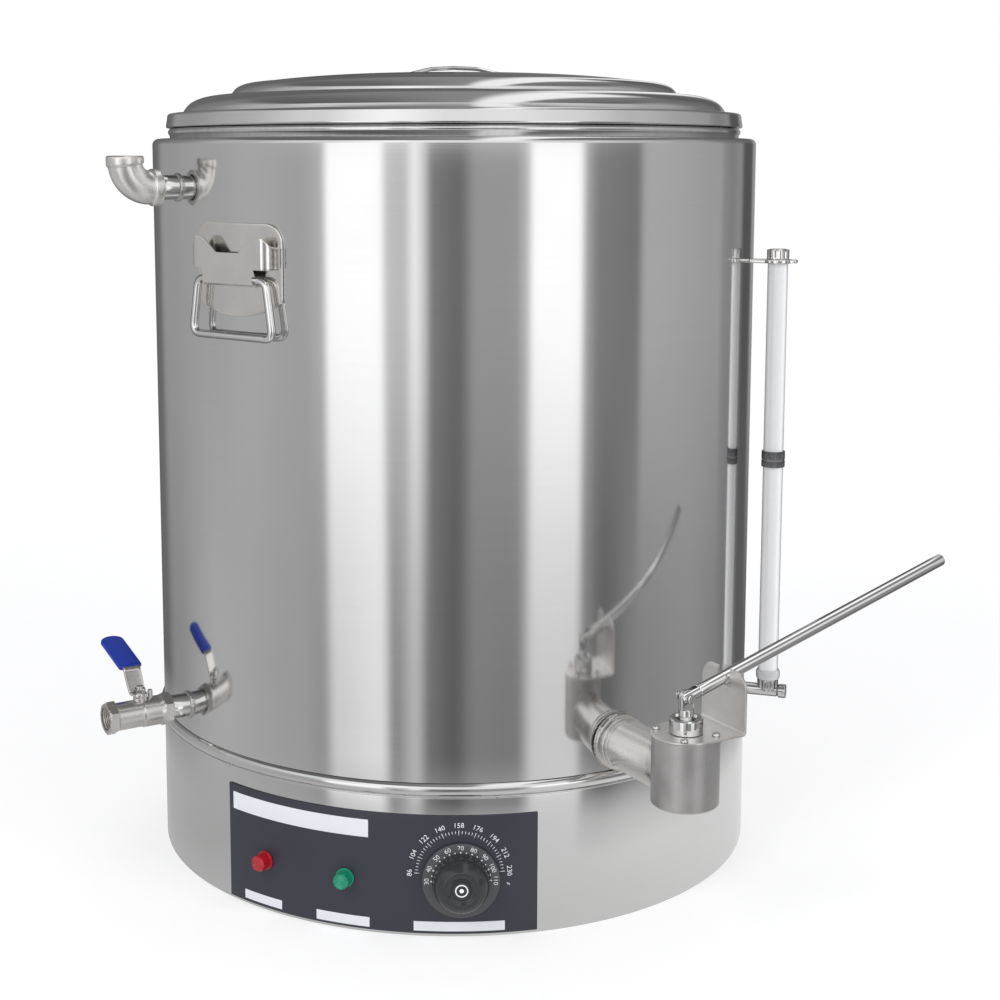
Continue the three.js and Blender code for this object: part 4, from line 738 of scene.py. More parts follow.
# Carrying handles
def sheet(columns, low, high, shape, edge, bends):
    """A folded sheet. The line of column y runs up its outside from low(y) to high(y), over a rounded edge,
    down its inside and back; shape(w, y, depth) puts it in space. All columns share a row at each bend. Both
    end columns are rounded: half the wall is WALL/2 - edge + sqrt(edge^2 - (edge - s)^2) at a distance s."""
    s = edge * np.array([0, 0, 0.3, 1.0])
    y = np.concatenate([columns[0] + s, columns[1:-1], (columns[-1] - s)[::-1]])
    near = np.minimum(y - y[0], y[-1] - y).clip(0, edge)
    half = WALL / 2 - edge + np.sqrt(edge**2 - (edge - near) ** 2)
    half[[0, -1]] = 0
    bottom, top = low(y) + edge, high(y) - edge
    stops = [bottom, *[np.clip(np.full(len(y), w), bottom, top) for w in bends], top]
    share = np.linspace(0, 1, 14)[:, None]
    up = np.concatenate([first + (last - first) * share for first, last in zip(stops, stops[1:])])
    t = np.radians(np.linspace(0, 90, 4))[:, None]
    round_top = [top + edge * np.sin(t), top + edge * np.cos(t)]
    round_bottom = [bottom - edge * np.sin(t), bottom - edge * np.cos(t)]
    rise, fall = edge * (1 - np.cos(t)), WALL - edge * (1 - np.sin(t))
    w = np.concatenate([up, *round_top, up[::-1], *round_bottom])
    flat = np.zeros((len(up), 1))
    depth = np.concatenate([flat, rise, fall, flat + WALL, WALL - rise, WALL - fall])
    depth = WALL / 2 + (depth - WALL / 2) * half / (WALL / 2)
    return shape(w, np.broadcast_to(y, w.shape), depth), True, False


def bracket_sheet():
    """The hood over the bail: across, a channel with round corners; down its middle, a tongue that curls back
    under the bail's bar by 100 degrees; on top, a notch with slanting sides."""
    front = 259.9
    around = front - BAIL_REACH
    section = spread(
        softened([[ROOT, -43], [front, -38], [front, 38], [ROOT, 43]], [0, 8, 8, 0], steps=8), 1.5,
    )
    length = travelled(section)
    length -= length[-1] / 2
    tangent = unit(np.gradient(section, axis=0))

    def read(marks, values):
        """A value of the channel's section at a length along it."""
        return np.interp(marks, length, values)

    def high(marks):
        """The top edge: straight lines between heights over the bar, with the notch in the middle."""
        return np.interp(
            np.abs(marks), [0, 12, 24.5, 27, 36, 43, 60], [20.1, 20.1, 30.4, 31.5, 31.5, 25.5, 22.5],
        )

    def low(marks):
        """The bottom edge, which is lower in the middle by the tongue's length round the bar."""
        return np.where(np.abs(marks) < 26.5, -around * math.radians(100), 8.2)

    def shape(w, marks, depth):
        """Below w = 0 the sheet runs round the bar as an arc; above, it stands along the channel."""
        x, y = read(marks, section[:, 0]), read(marks, section[:, 1])
        out, across = read(marks, tangent[:, 1]), -read(marks, tangent[:, 0])
        angle = np.minimum(w, 0) / around
        bend = around - depth
        curled = joined(BAIL_REACH + bend * np.cos(angle), y, BAIL_HEIGHT + bend * np.sin(angle))
        upright = joined(x - depth * out, y - depth * across, BAIL_HEIGHT + w)
        return np.where((w < 0)[..., None], curled, upright)

    marks = np.unique(np.concatenate([length, [-26.55, -26.45, 26.45, 26.55, -24.5, 24.5, -12, 12]]))
    return sheet(marks, low, high, shape, 0.35, (0, 8.3))


def build_handle(side, azimuth):
    """A carrying handle. Its plate is a flat outline wrapped on the tank: a foot that sags as a circle of
    radius (half^2 + sag^2) / (2 sag), and two round corners. The bail is a rod along a closed line."""
    plate_side = fitting(azimuth)
    top, half, sag = PLATE_HEIGHT, 45.5, 12.0
    sag_radius = (half**2 + sag**2) / (2 * sag)
    sweep = math.degrees(math.asin(half / sag_radius))
    bottom = arc((0, top - 69 + sag_radius), sag_radius, -90 - sweep, -90 + sweep, 24)
    right = arc((half - 15, top - 15), 15, 0, 90, 12)
    outline = spread(line(bottom, right, (right * [-1, 1])[::-1]), 3, True)
    plate = wrapped(slab(outline, GAP, GAP + WALL, 0.6, 14), BODY)
    for name, node, surface, sharp in (
        ("plate", "plate", plate, 60), ("hood", "bracket", bracket_sheet(), 40),
    ):
        piece(
            f"{side}_{name}", [surface], "tank", "pressed_steel", [f"{side}_handle_{node}"], plate_side,
            sharp=sharp, slot="polished_steel",
        )
    corners = [[0, 36.0, 0], [0, 42.8, -41.7], [0, -42.8, -41.7], [0, -36.0, 0]]
    ring = swept(spread(softened(corners, 7.5, True, 10), 2.5), circle(3.1), (1, 0, 0), closed=True)
    at = shifted(plate_side, BAIL_REACH, 0, BAIL_HEIGHT)
    piece(f"{side}_bail", [ring], f"{side}_bail", "bright_steel", [f"{side}_handle_bail"], at)
    size = 1.0 + 0.25 * np.cos(np.linspace(0, 6 * np.pi, 9))
    bead = circle(1.0, 10)[None] * size[:, None, None]
    beads = [swept(joined(252.2, y, 499 + np.linspace(-7, 7, 9)), bead, (1, 0, 0)) for y in (43.6, -43.6)]
    welded(f"{side}_hood_welds", beads, plate_side)


def build_handles():
    """Both carrying handles, opposite each other."""
    build_handle("left", LEFT_AZIMUTH)
    build_handle("right", RIGHT_AZIMUTH)


# Pipes
def weld_ring(radius, at, width, ripples=22):
    """A weld round a pipe's root: a small fillet whose size ripples as 1 + 0.05 sin(n a)."""
    section = line(
        [at - 1.5, radius - 0.6], [at - 1.0, radius + width], arc((at, radius), width, 80, 8, 8),
        [at + width + 0.4, radius - 0.3],
    )

    def rippled(r, x, a):
        return r + np.clip(r - radius, 0, None) * 0.05 * np.sin(ripples * a)

    return turned_out(section, PIPE_STEPS * 2, True, rippled)


def stub(name, node, height, end):
    """A half-inch pipe stub out of the wall, with its weld."""
    place = fitting(SIDE_AZIMUTH, 0, height)
    profile = softened([[ROOT, STUB - 2], [ROOT, STUB], [end, STUB], [end, STUB - 2]], 0.5, True, 4)
    piece(name, [turned_out(profile)], "tank", "bright_steel", [node], place)
    welded(name + "_weld", [weld_ring(STUB, BODY + 0.4, 1.5)], place, "cast_steel")


def build_fill():
    """The fill stub and its elbow: a banded, hollow profile carried along a quarter turn, with a row of rings
    for the thread in its mouth."""
    stub("fill_stub", "fill_nipple", FILL_HEIGHT, 272.7)
    route = line([265.0, 0], arc((273, 19), 19, -90, 0, 24), [292.0, 24.0])
    path = joined(route[:, 0], 0, route[:, 1])
    length = float(np.linalg.norm(np.diff(spread(path, 0.8), axis=0), axis=-1).sum())
    band, mid = 14.2, 12.9
    section = softened([
        [0, 10.2], [0, band], [6.5, band], [7.6, mid], [length - 7.6, mid], [length - 6.5, band],
        [length, band], [length, 10.0], [length - 12, 9.4], [length - 12.5, 7.5], [12.5, 7.5], [12, 9.4],
    ], [0.6, 1.8, 1.2, 1.2, 1.2, 1.4, 2.0, 0.8, 0.4, 0.4, 0.4, 0.4], True, 4)
    place = fitting(SIDE_AZIMUTH, 0, FILL_HEIGHT)
    piece(
        "fill_bend", [along(path, spread(section, 2.0, True))], "tank", "cast_steel", ["fill_elbow"], place,
        sharp=50,
    )
    ribs = [arc((9.4, z), 0.5, 90, 270, 4, 0.45)[::-1] for z in np.arange(13.0, 23.4, 1.4)]
    threads = turned(line(*ribs, [10.2, 23.6], [10.2, 12.6]), 40)
    piece(
        "fill_thread", [threads], "tank", "cast_steel", place=fitting(SIDE_AZIMUTH, 292.0, FILL_HEIGHT),
        sharp=60,
    )


def hexed(flats, spans):
    """A shape rule: within the spans of distance, the radius is the lesser of its own and a hexagon's."""
    def rule(r, x, a):
        inside = sum((x >= low) & (x <= high) for low, high in spans) > 0
        return np.where(inside, np.minimum(r, regular(flats, 6, a)), r)

    return rule


def build_drain():
    """The ball valve: a hollow profile whose two ends are hexagons, its stem and nut, a bent lever strip and
    the sleeve, a rounded section (|sin|^0.75, |cos|^0.55) that closes to a round tip."""
    stub("drain_stub", "drain_nipple", DRAIN_HEIGHT, 274.7)
    valve = fitting(SIDE_AZIMUTH, VALVE_REACH, DRAIN_HEIGHT)
    half = 28.5
    profile = line(
        softened([[-24.5, 9.8], [-24.5, 11.8], [-23.3, 13.4], [-17.6, 13.4], [-16.4, 11.6]], 0.3),
        softened([[-16.0, 11.5], [-1.0, 11.5], [0.2, 10.8], [20.0, 10.8]], 0.5),
        softened([[20.4, 11.2], [21.6, 13.4], [half - 1.2, 13.4], [half, 11.6], [half, 9.2]], 0.3),
        [16.5, 9.2], [16.0, 5.0], [11.2, 5.0], [11.0, 5.2], [11.0, 8.4], [-11.0, 8.4], [-11.0, 5.0],
        [-15.5, 5.0], [-15.5, 9.8],
    )
    rule = hexed(23, [(-24.6, -16.7), (20.7, half)])
    boss = turned(
        softened([[3.2, 7.0], [5.4, 7.0], [5.4, 12.6], [4.6, 13.6], [3.2, 13.6]], 0.4, True), SMALL_STEPS,
    )
    lug = turned(line([0, 5], [2.0, 5], arc((1.2, 16.8), 0.8, 0, 90, 4), [0, 17.6]), 20, False)
    barrel = [turned_out(spread(profile, 3), 120, True, rule), boss, moved(lug, shifted(ORIGIN, -8.4))]
    piece(
        "drain_body", barrel, "tank", "valve_steel", ["drain_valve_body"], valve, sharp=28, slot="cast_steel",
    )
    ribs = [arc((x, 9.3), 0.45, 180, 360, 4, 0.5) for x in np.arange(17.5, 28.0, 1.5)]
    threads = turned_out(line(*ribs, [28.2, 10.2], [16.8, 10.2]), 40)
    piece("drain_thread", [threads], "tank", "cast_steel", place=valve, sharp=60)
    stem = turned(line([0, 7.9], [2.8, 7.9], arc((2.3, 21.5), 0.5, 0, 90, 4), [0, 22.0]), SMALL_STEPS, False)
    piece("drain_spindle", [stem], "drain_handle", "brushed_steel", ["drain_stem"], valve)
    nut = softened([
        [2.9, 16.2], [3.9, 16.2], [4.7, 16.8], [4.7, 19.6], [3.9, 20.2], [2.9, 20.2],
    ], 0.2, True, 3)
    nut = turned(nut, 72, True, lambda r, z, a: np.minimum(r, regular(8, 6, a)))
    washer = turned(softened([[2.9, 15.9], [4.4, 15.9], [4.4, 16.3], [2.9, 16.3]], 0.1, True, 2), SMALL_STEPS)
    piece("drain_nut", [nut, washer], "drain_handle", "bright_steel", ["drain_stem_nut"], valve, sharp=25)
    arm = leaned(valve, 2, -90)
    base = 13.9
    route = softened([
        [-5.6, base], [6.5, base], [17.0, base + 17.0], [57.0, base + 28.0],
    ], [0, 4, 5, 0], steps=8)
    length = travelled(route)
    marks = np.linspace(0, length[-1], 90)[:, None]
    x, z = (np.interp(marks, length, column) for column in route.T)
    eye = 5.6
    round_end = np.sqrt(np.clip(eye**2 - (marks - eye) ** 2, 0, None))
    half_width = np.where(marks < eye, round_end, np.interp(marks, [eye, 10, 22, 30], [eye, 6.4, 7.0, 7.0]))
    strip = joined(x, half_width * np.linspace(-1, 1, 9), z), False, False
    piece(
        "drain_lever_strip", [strip], "drain_handle", "pressed_steel", ["drain_lever"], arm, (0, 0, -1),
        wall=2.0, edge=0.3, sharp=40, slot="brushed_steel",
    )
    run, rise = 40, 11
    grip = leaned(shifted(arm, 17.0, 0, base + 17.0), 1, -math.degrees(math.atan2(rise, run)))
    end = math.hypot(run, rise) + 8.0
    s = np.linspace(0, 1, 34)
    reach = 2.0 + (end - 2.0) * (1 - np.cos(np.pi * s)) / 2
    grow = np.minimum(1, np.sqrt(np.clip(1 - ((reach - (end - 7)) / 7).clip(0) ** 2, 0.0, 1)))
    width = np.where(reach < 3.0, 0.93 + 0.07 * (reach - 2.0), grow)
    tall = np.where(reach < 3.0, 0.85 + 0.15 * (reach - 2.0), np.sqrt(grow.clip(0.1)))
    a = np.radians(np.linspace(0, 360, 40, False))
    across = np.sign(np.sin(a)) * np.abs(np.sin(a)) ** 0.75 * 9.5
    up = np.sign(np.cos(a)) * np.abs(np.cos(a)) ** 0.55 * 2.8
    grid = joined(reach[:, None], across * width[:, None], 1.0 + up * tall[:, None])
    piece(
        "drain_grip", [capped((grid, False, True))], "drain_handle", "blue_vinyl", ["drain_lever_sleeve"],
        grip, sharp=60,
    )


# Honey gate
def gate_sheet():
    """The gate's round plate, bent up by a quarter turn into an ear with round corners and a notch for the
    lever. Its outside is flat below, (y, z) = (w, bottom), then the arc of the bend, then straight up."""
    half, out, bend, ear = 24.8, 34.0, 3.0, PLATE_TOP + 42.5
    bottom = PLATE_TOP - WALL
    start, finish = out - bend, out - bend + bend * math.pi / 2
    lean = math.radians(LEVER_LEAN)
    notch = PIVOT + 32.5 * math.tan(lean) - 4.5 / math.cos(lean) - 0.5

    def high(x):
        """The ear's top edge: quarter rounds of 12 mm at its corners, and the notch with round corners."""
        size = np.abs(x)
        corner = ear - 12 + np.sqrt(np.clip(12**2 - (size - half + 12).clip(0) ** 2, 0, None))
        trough = notch + 3 - np.sqrt(np.clip(9 - (size - 4).clip(0, 3) ** 2, 0, None))
        return finish + np.where(size < 7, trough, corner) - bottom - bend

    def low(x):
        """The plate's half circle, -sqrt(half^2 - x^2)."""
        return -np.sqrt(np.clip(half**2 - x**2, 0, None))

    def shape(w, x, depth):
        """Flat up to start, round the bend by (w - start) / bend, and straight up after finish."""
        angle = np.clip((w - start) / bend, 0, math.pi / 2)
        y = np.minimum(w, start) + bend * np.sin(angle) - depth * np.sin(angle)
        z = bottom + bend * (1 - np.cos(angle)) + (w - finish).clip(0) + depth * np.cos(angle)
        return joined(x, y, z)

    x = half * np.sin(np.radians(np.linspace(-90, 90, 61)))
    x = np.unique(np.concatenate([x, [-7.05, -6.95, 6.95, 7.05]]))
    return sheet(x, low, high, shape, 0.3, (0, start, finish))


def build_gate():
    """The honey gate. Its outlet pipe is stretched along X so that it ends on the housing's round,
    GATE_REACH - sqrt(GATE_BODY^2 - y^2); housing, bush, screws, disc and rod are turned; the spring is a wire
    carried along a helix of five turns; the lever is a turned bar whose fork is two part-round cheeks."""
    gate = fitting(GATE_AZIMUTH, 0, OUTLET_HEIGHT)
    head = fitting(GATE_AZIMUTH, GATE_REACH)
    start, end = 216, 318
    pipe = softened([[start, OUTLET - 2], [start, OUTLET], [end, OUTLET], [end, OUTLET - 2]], 0.3, True, 3)
    tube = turned_out(spread(pipe, 8, True))
    saddle = GATE_REACH + 0.4 - np.sqrt(GATE_BODY**2 - tube[0][..., 1] ** 2)
    tube[0][..., 0] = start + (tube[0][..., 0] - start) * (saddle - start) / (end - start)
    collars, foot = [], OUTLET - 0.4
    for x, width, height in ((257.2, 2.6, 1.6), (262.0, 1.8, 1.0)):
        ring = [[x, foot], [x, foot + height], [x + width, foot + height], [x + width, foot]]
        collars.append(turned_out(softened(ring, 0.7, True, 4)))
    piece(
        "outlet_tube", [tube, *collars], "tank", "valve_steel", ["gate_outlet_pipe"], gate, sharp=40,
        slot="brushed_steel",
    )
    welded("outlet_weld", [weld_ring(OUTLET, BODY + 1.5, 3.0, 34)], gate, "brushed_steel")
    profile = softened([
        [16, 119], [GATE_BODY - 1.5, 119], [GATE_BODY, 120.5], [GATE_BODY, 169], [17.4, 169], [17.4, 159],
        [21.7, 159], [21.7, 122], [16, 122],
    ], [0.3, 0.8, 0.8, 0.7, 0.3, 0.3, 0.3, 0.3, 0.3], True, 4)
    housing = turned(spread(profile, 8, True), 96)
    piece("gate_housing", [housing], "tank", "gate_steel", ["gate_body"], head, sharp=40)
    # The plate's paler plate_steel is a painted highlight for the light on its upward faces.
    piece("gate_top_plate", [gate_sheet()], "tank", "plate_steel", ["gate_plate"], head, sharp=40)
    boss = softened([
        [5.85, 171.1], [12.2, 171.1], [12.2, 181.0], [11.4, 181.8], [9.2, 181.8], [8.4, 179.8], [5.85, 179.8],
    ], [0.2, 0.4, 0.4, 0.4, 0.3, 0.3, 0.3], True)
    piece(
        "gate_bush", [turned(boss, PIPE_STEPS)], "tank", "bright_steel", ["gate_guide_boss"], head, sharp=35,
    )
    z = PLATE_TOP + GAP
    profile = line(
        [0, z + 1.15], [1.25, z + 1.15], [1.3, z + 1.85], arc((1.4, z + 0.7), 1.4, 80, 0, 6, 1.2), [2.8, z],
        [1.5, z], [1.5, 163], [0, 163],
    )

    def socket(r, h, a):
        """The screw's recess is the lesser of its own radius and a hexagon's."""
        return np.where((r < 1.32) & (r > 0) & (h > PLATE_TOP + 1), np.minimum(r, regular(2.3, 6, a)), r)

    screw = turned(profile, 36, False, socket)
    for i, (x, y) in enumerate(((-16.6, -13.8), (16.6, -13.8), (16.6, 13.8), (-16.6, 13.8)), 1):
        at = shifted(head, x, y)
        piece(f"gate_fixing_{i}", [screw], "tank", "bright_steel", [f"gate_screw_{i}"], at, sharp=35)
    groove = softened([
        [0, 125.2], [16.3, 125.2], [16.3, 126.4], [20.0, 126.4], [20.8, 125.6], [20.8, 133], [6.1, 133],
        [6.1, 139], [0, 139],
    ], 0.3)
    piece(
        "gate_valve_disc", [turned(groove, PIPE_STEPS, False)], "gate_plunger", "brushed_steel",
        ["gate_plunger"], head,
    )
    piece(
        "gate_seal_ring", [turned(circle(1.8, 16) + [18.2, 124.1], PIPE_STEPS)], "gate_plunger",
        "pale_plastic", ["gate_seal"], head,
    )
    rod = turned(
        softened([
            [0, 129.3], [4.0, 129.3], [4.0, 139.3], [5.5, 139.3], [5.5, 187.6], [4.9, 188.2], [0, 188.2],
        ], 0.3),
        PIPE_STEPS, False,
    )
    tang = arc((0, PIVOT), 5.5, 0, 180, 16)
    outline = line([5.5, 187.6], tang, [-5.5, 187.6])
    tongue = faced_out(slab(spread(outline, 2, True), -2.0, 2.0, 0.4))
    piece("gate_stem", [rod, tongue], "gate_plunger", "bright_steel", ["gate_plunger_rod"], head)
    turns = np.linspace(0, 5 * 2 * np.pi, 161)
    coil = joined(8.1 * np.cos(turns), 8.1 * np.sin(turns), 134.5 + (168.1 - 134.5) * turns / turns[-1])
    spring = piece(
        "gate_coil_spring", [swept(coil, circle(0.9, 10), (0, 0, 1))], "tank", "brushed_steel",
        ["gate_spring"], head,
    )
    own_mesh(spring)
    pivot = leaned(shifted(head, 0, 0, PIVOT), 0, LEVER_LEAN)
    shank = ball_ended(4.5, 240.0, 0.9) + [10.0, 0]
    lever = turned_out(spread(shank, 12), 48, False)
    lever = (lever[0][..., [1, 0, 2]], *lever[1:])
    angle = math.asin(2.3 / 4.5)
    cheek = line(arc((0, 0), 4.5, math.degrees(angle) - 90, 90 - math.degrees(angle), 14))
    cheeks = []
    y = np.concatenate([[-5.0, -4.8, -4.3], np.linspace(-3.4, 10.3, 8)])
    shrink = np.concatenate([[0.75, 0.88, 0.96], np.ones(8)])
    for sign in (1, -1):
        cheeks.append(
            capped((joined(sign * cheek[:, 0], y[:, None], cheek[:, 1] * shrink[:, None]), False, True))
        )
    piece("gate_hand_lever", [lever, *cheeks], "gate_lever", "bright_steel", ["gate_lever"], pivot, sharp=40)
    pin = line(
        [-8.8, 0], [-8.8, 1.6], [-8.4, 2.0], [4.8, 2.0], [4.8, 3.0], [5.1, 3.2], [6.3, 3.2], [6.8, 2.6],
        [6.8, 0],
    )
    t = np.linspace(0.2, 2 * np.pi - 0.2, 25)
    clip = swept(joined(-7.2, 3.4 * np.sin(t), 3.4 * np.cos(t)), circle(0.45, 8), (1, 0, 0))
    piece(
        "gate_pivot_pin", [turned_out(pin, 40, False), clip], "gate_lever", "bright_steel",
        ["gate_lever_pin"], pivot, sharp=35,
    )


# Level gauge
def knurled(radius, bottom, top, bore, ribs, depth, edge=0.8):
    """A grip ring: r - depth * |cos(n a / 2)|^3 on its outside, fading at its rounded edges."""
    profile = spread(
        softened([
            [bore, bottom], [radius, bottom], [radius, top], [bore, top],
        ], [0.2, edge, edge, 0.2], True, 5),
        1.5,
    )
    middle, half = (bottom + top) / 2, (top - bottom) / 2

    def rule(r, z, a):
        fade = np.clip((half - np.abs(z - middle)) / edge, 0, 1) * (r > (radius + bore) / 2)
        return r - depth * fade * np.abs(np.cos(ribs * a / 2)) ** 3

    return turned(profile, ribs * 8, True, rule)


def build_gauge():
    """The level gauge: feed pipe, nut, socket, two tubes and their union, the cap and the stay. All are
    turned, apart from the stay's flat strap."""
    low = fitting(GAUGE_AZIMUTH, 0, GAUGE_HEIGHT)
    column = fitting(GAUGE_AZIMUTH, GAUGE_REACH)
    pipe = softened([
        [ROOT, 3], [ROOT, 5.0], [279.6, 5.0], [280.2, 4.4], [280.8, 5.0], [281.2, 5.7], [287, 5.7], [287, 0],
    ], [0, 0.4, 0.2, 0.2, 0.2, 0.4, 0.9, 0])
    pipe = turned_out(line([ROOT, 0], pipe), 48, False)
    boss = turned(softened([[0, 0], [6.2, 0], [6.2, 10], [3, 10], [3, 6], [0, 6]], 0.3), 48, False)
    piece(
        "gauge_feed", [pipe, moved(boss, shifted(ORIGIN, GAUGE_REACH))], "tank", "chrome", ["gauge_pipe"],
        low, sharp=40,
    )
    welded("gauge_feed_weld", [weld_ring(5.0, BODY + 0.4, 2.2, 16)], low, "cast_steel")
    base = shifted(column, 0, 0, GAUGE_HEIGHT)
    piece(
        "gauge_lock_nut", [knurled(8.6, 2.6, 10.0, 6.6, 12, 0.9)], "tank", "chrome", ["gauge_nut"], base,
        sharp=40,
    )
    collar = softened([
        [8.3, TUBE_BOTTOM], [9.3, TUBE_BOTTOM], [9.7, TUBE_BOTTOM + 2.2], [9.7, TUBE_BOTTOM + 6],
        [8.9, TUBE_BOTTOM + 7.7], [8.3, TUBE_BOTTOM + 7.7],
    ], 0.6, True)
    piece(
        "gauge_socket", [turned(collar, PIPE_STEPS)], "tank", "clear_ring", ["gauge_collar"], column,
        sharp=50, slot="clear_tube",
    )
    middle = TUBE_BOTTOM + 177 + 6.5
    for name, bottom, top in (("lower", TUBE_BOTTOM, middle - 0.15), ("upper", middle + 0.15, TUBE_TOP)):
        tube = softened([[6.2, bottom], [8.0, bottom], [8.0, top], [6.2, top]], 0.3, True, 3)
        tube = turned(spread(tube, 60, True), PIPE_STEPS)
        piece("gauge_glass_" + name, [tube], "tank", "clear_tube", ["gauge_tube_" + name], column)
    rings = [
        knurled(9.4, middle - 6.5, middle - 1.2, 8.3, 24, 0.5),
        knurled(9.4, middle - 0.6, middle + 6.5, 8.3, 24, 0.5),
    ]
    piece("gauge_union", rings, "tank", "dark_chrome", ["gauge_coupling"], column, sharp=40)
    cap = knurled(9.0, TUBE_TOP + 0.2, TUBE_TOP + 7.6, 0.0, 8, 0.8, 0.5)
    crown = turned(
        line(
            [0, TUBE_TOP + 6], [7.2, TUBE_TOP + 6], arc((6.4, TUBE_TOP + 7.3), 0.8, 0, 90, 5),
            [0, TUBE_TOP + 8.1],
        ),
        PIPE_STEPS, False,
    )
    plug = turned(
        line([0, TUBE_TOP - 10], [5.9, TUBE_TOP - 10], [5.9, TUBE_TOP + 2], [0, TUBE_TOP + 2]), SMALL_STEPS,
        False,
    )
    piece("gauge_stopper", [cap, crown, plug], "tank", "brass", ["gauge_cap"], column, sharp=40)
    strap_side = fitting(GAUGE_AZIMUTH)
    z = TUBE_TOP - 3.2
    ring = turned(softened([[8.3, z], [11.2, z], [11.2, z + 3], [8.3, z + 3]], 0.7, True, 4), PIPE_STEPS)
    tab = softened([[280.6, -4.6], [287.4, -4.6], [287.4, 4.6], [280.6, 4.6]], 2.4, True)
    strap = line([BODY + 0.2, 0, z + 1.5], [263.0, 0, z + 1.5])
    bar = swept(spread(strap, 2), rounded_bar(12, 3.2), (0, 1, 0))
    piece(
        "gauge_stay", [moved(ring, shifted(ORIGIN, GAUGE_REACH)), bar, slab(tab, z + 0.2, z + 2.8, 0.6)],
        "tank", "brass", ["gauge_bracket"], strap_side, sharp=40, slot="polished_steel",
    )


# Control panel
def sector(start, end, low, high, radius, thickness, edge=0.25):
    """A sheet on the skirt: a rounded section in (radius, height) carried from azimuth to azimuth."""
    section = softened([
        [radius, low], [radius + thickness, low], [radius + thickness, high], [radius, high],
    ], [0, edge, edge, 0], True, 3)
    section = spread(section, 12, True)
    a = np.radians(np.linspace(start, end, max(int((end - start) / 1.2), 4) + 1))[:, None]
    return capped((joined(section[:, 0] * np.sin(a), -section[:, 0] * np.cos(a), section[:, 1]), False, True))


def inked(name, points, faces, slot):
    """Print on the tank: faces turned to the front and lifted by a film of ink."""
    def mend(bm):
        bmesh.ops.remove_doubles(bm, verts=bm.verts, dist=1e-6)
        for f in bm.faces:
            if f.normal.y > 0:
                f.normal_flip()

    obj = dressed(name, meshed(name, points, faces, mend), "tank", "print_white", slot=slot)
    thick = obj.modifiers.new("Ink", "SOLIDIFY")
    thick.thickness, thick.offset = INK, 1


def lettering(name, marks, put, slot):
    """Digits made into one mesh. Each mark is (words, size, x, y, turn): the outline of its glyphs is turned,
    moved and put on its surface by put(x, y), which returns points in millimetres."""
    points, faces, start = [], [], 0
    for words, size, x, y, turn in marks:
        curve = bpy.data.curves.new("digits", "FONT")
        curve.body, curve.size, curve.align_x, curve.align_y = words, size, "CENTER", "CENTER"
        curve.resolution_u = 3
        holder = bpy.data.objects.new("digits", curve)
        bpy.context.scene.collection.objects.link(holder)
        bpy.context.view_layer.update()
        made = holder.to_mesh()
        co = np.zeros(len(made.vertices) * 3)
        made.vertices.foreach_get("co", co)
        co = co.reshape(-1, 3)[:, :2]
        c, s = math.cos(math.radians(turn)), math.sin(math.radians(turn))
        points.append(put(co[:, 0] * c - co[:, 1] * s + x, co[:, 0] * s + co[:, 1] * c + y))
        faces += [[v + start for v in p.vertices] for p in made.polygons]
        start += len(co)
        holder.to_mesh_clear()
        bpy.data.objects.remove(holder)
        bpy.data.curves.remove(curve)
    inked(name, np.concatenate(points), faces, slot)


def on_drum(radius, azimuth, height):
    """x runs round the drum to the right and y up, from a point at an azimuth and height."""
    def put(x, y):
        a = math.radians(azimuth) + x / radius
        return joined(radius * np.sin(a), -radius * np.cos(a), y + height)

    return put


def on_face(place, out):
    """x runs to the right and y up on a flat face of a fitting."""
    def put(x, y):
        return joined(out, x, y) @ place[:3, :3].T + place[:3, 3]

    return put


def strokes(name, angles, inner, outer, width, put, slot):
    """Short marks on rays from a dial's middle, between two distances: the four corners of each are
    r * ray +- half a width across it."""
    a = np.radians(angles)[:, None]
    r = joined(inner, outer, outer, inner)
    side = np.array([[-1, -1, 1, 1]]) * width / 2
    points = put((r * np.sin(a) + side * np.cos(a)).ravel(), (r * np.cos(a) - side * np.sin(a)).ravel())
    inked(name, points, np.arange(len(points)).reshape(-1, 4), slot)


def on_ray(word, size, radius, degrees):
    """A mark for lettering on the ray at an angle from a dial's top, turned so that it stands on the ray."""
    angle = math.radians(degrees)
    return word, size, radius * math.sin(angle), radius * math.cos(angle), -math.degrees(angle)


def build_panel():
    """The wrapped panel, its bare label plates, and the outer scale: 41 strokes and ten marks, which run from
    the left over the top to the right by equal steps of the angle."""
    piece(
        "panel_plate", [sector(-43.7, 14.2, 2.6, 93.5, BODY + GAP, 1.0)], "tank", "grey_panel",
        ["control_panel"], sharp=40,
    )
    face = BODY + GAP + 1.0
    places = [
        ("title_label", -42.6, -14.65, 74, 87.5), ("power_label", -39.87, -31.36, 5, 12),
        ("working_label", -24.28, -14.5, 4.5, 12), ("temperature_label", -6.85, 8.57, 4.7, 12),
    ]
    for name, start, end, low, high in places:
        piece(name, [sector(start, end, low, high, face - 0.1, 0.25, 0.08)], "tank", "label_film", sharp=40)
    scale = on_drum(face + 0.02, KNOB_AZIMUTH - 0.25, 49.2)
    step = 178.2 / 40
    count = np.arange(41)
    long = count % 5 == 0
    near, far = np.where(long, 29.6, 30.6), np.where(long, 33.4, 32.8)
    strokes("panel_scale_ticks", -90 + step * count, near, far, 0.42, scale, "grey_panel")
    marks = [on_ray(str(86 + 18 * i), 5.4, 36.9, -90 + step * 5 * i) for i in range(9)]
    marks.append(on_ray("F", 4.0, 36.9, -90 + step * 5 * 9 - 6.5))
    lettering("panel_scale_numbers", marks, scale, "grey_panel")


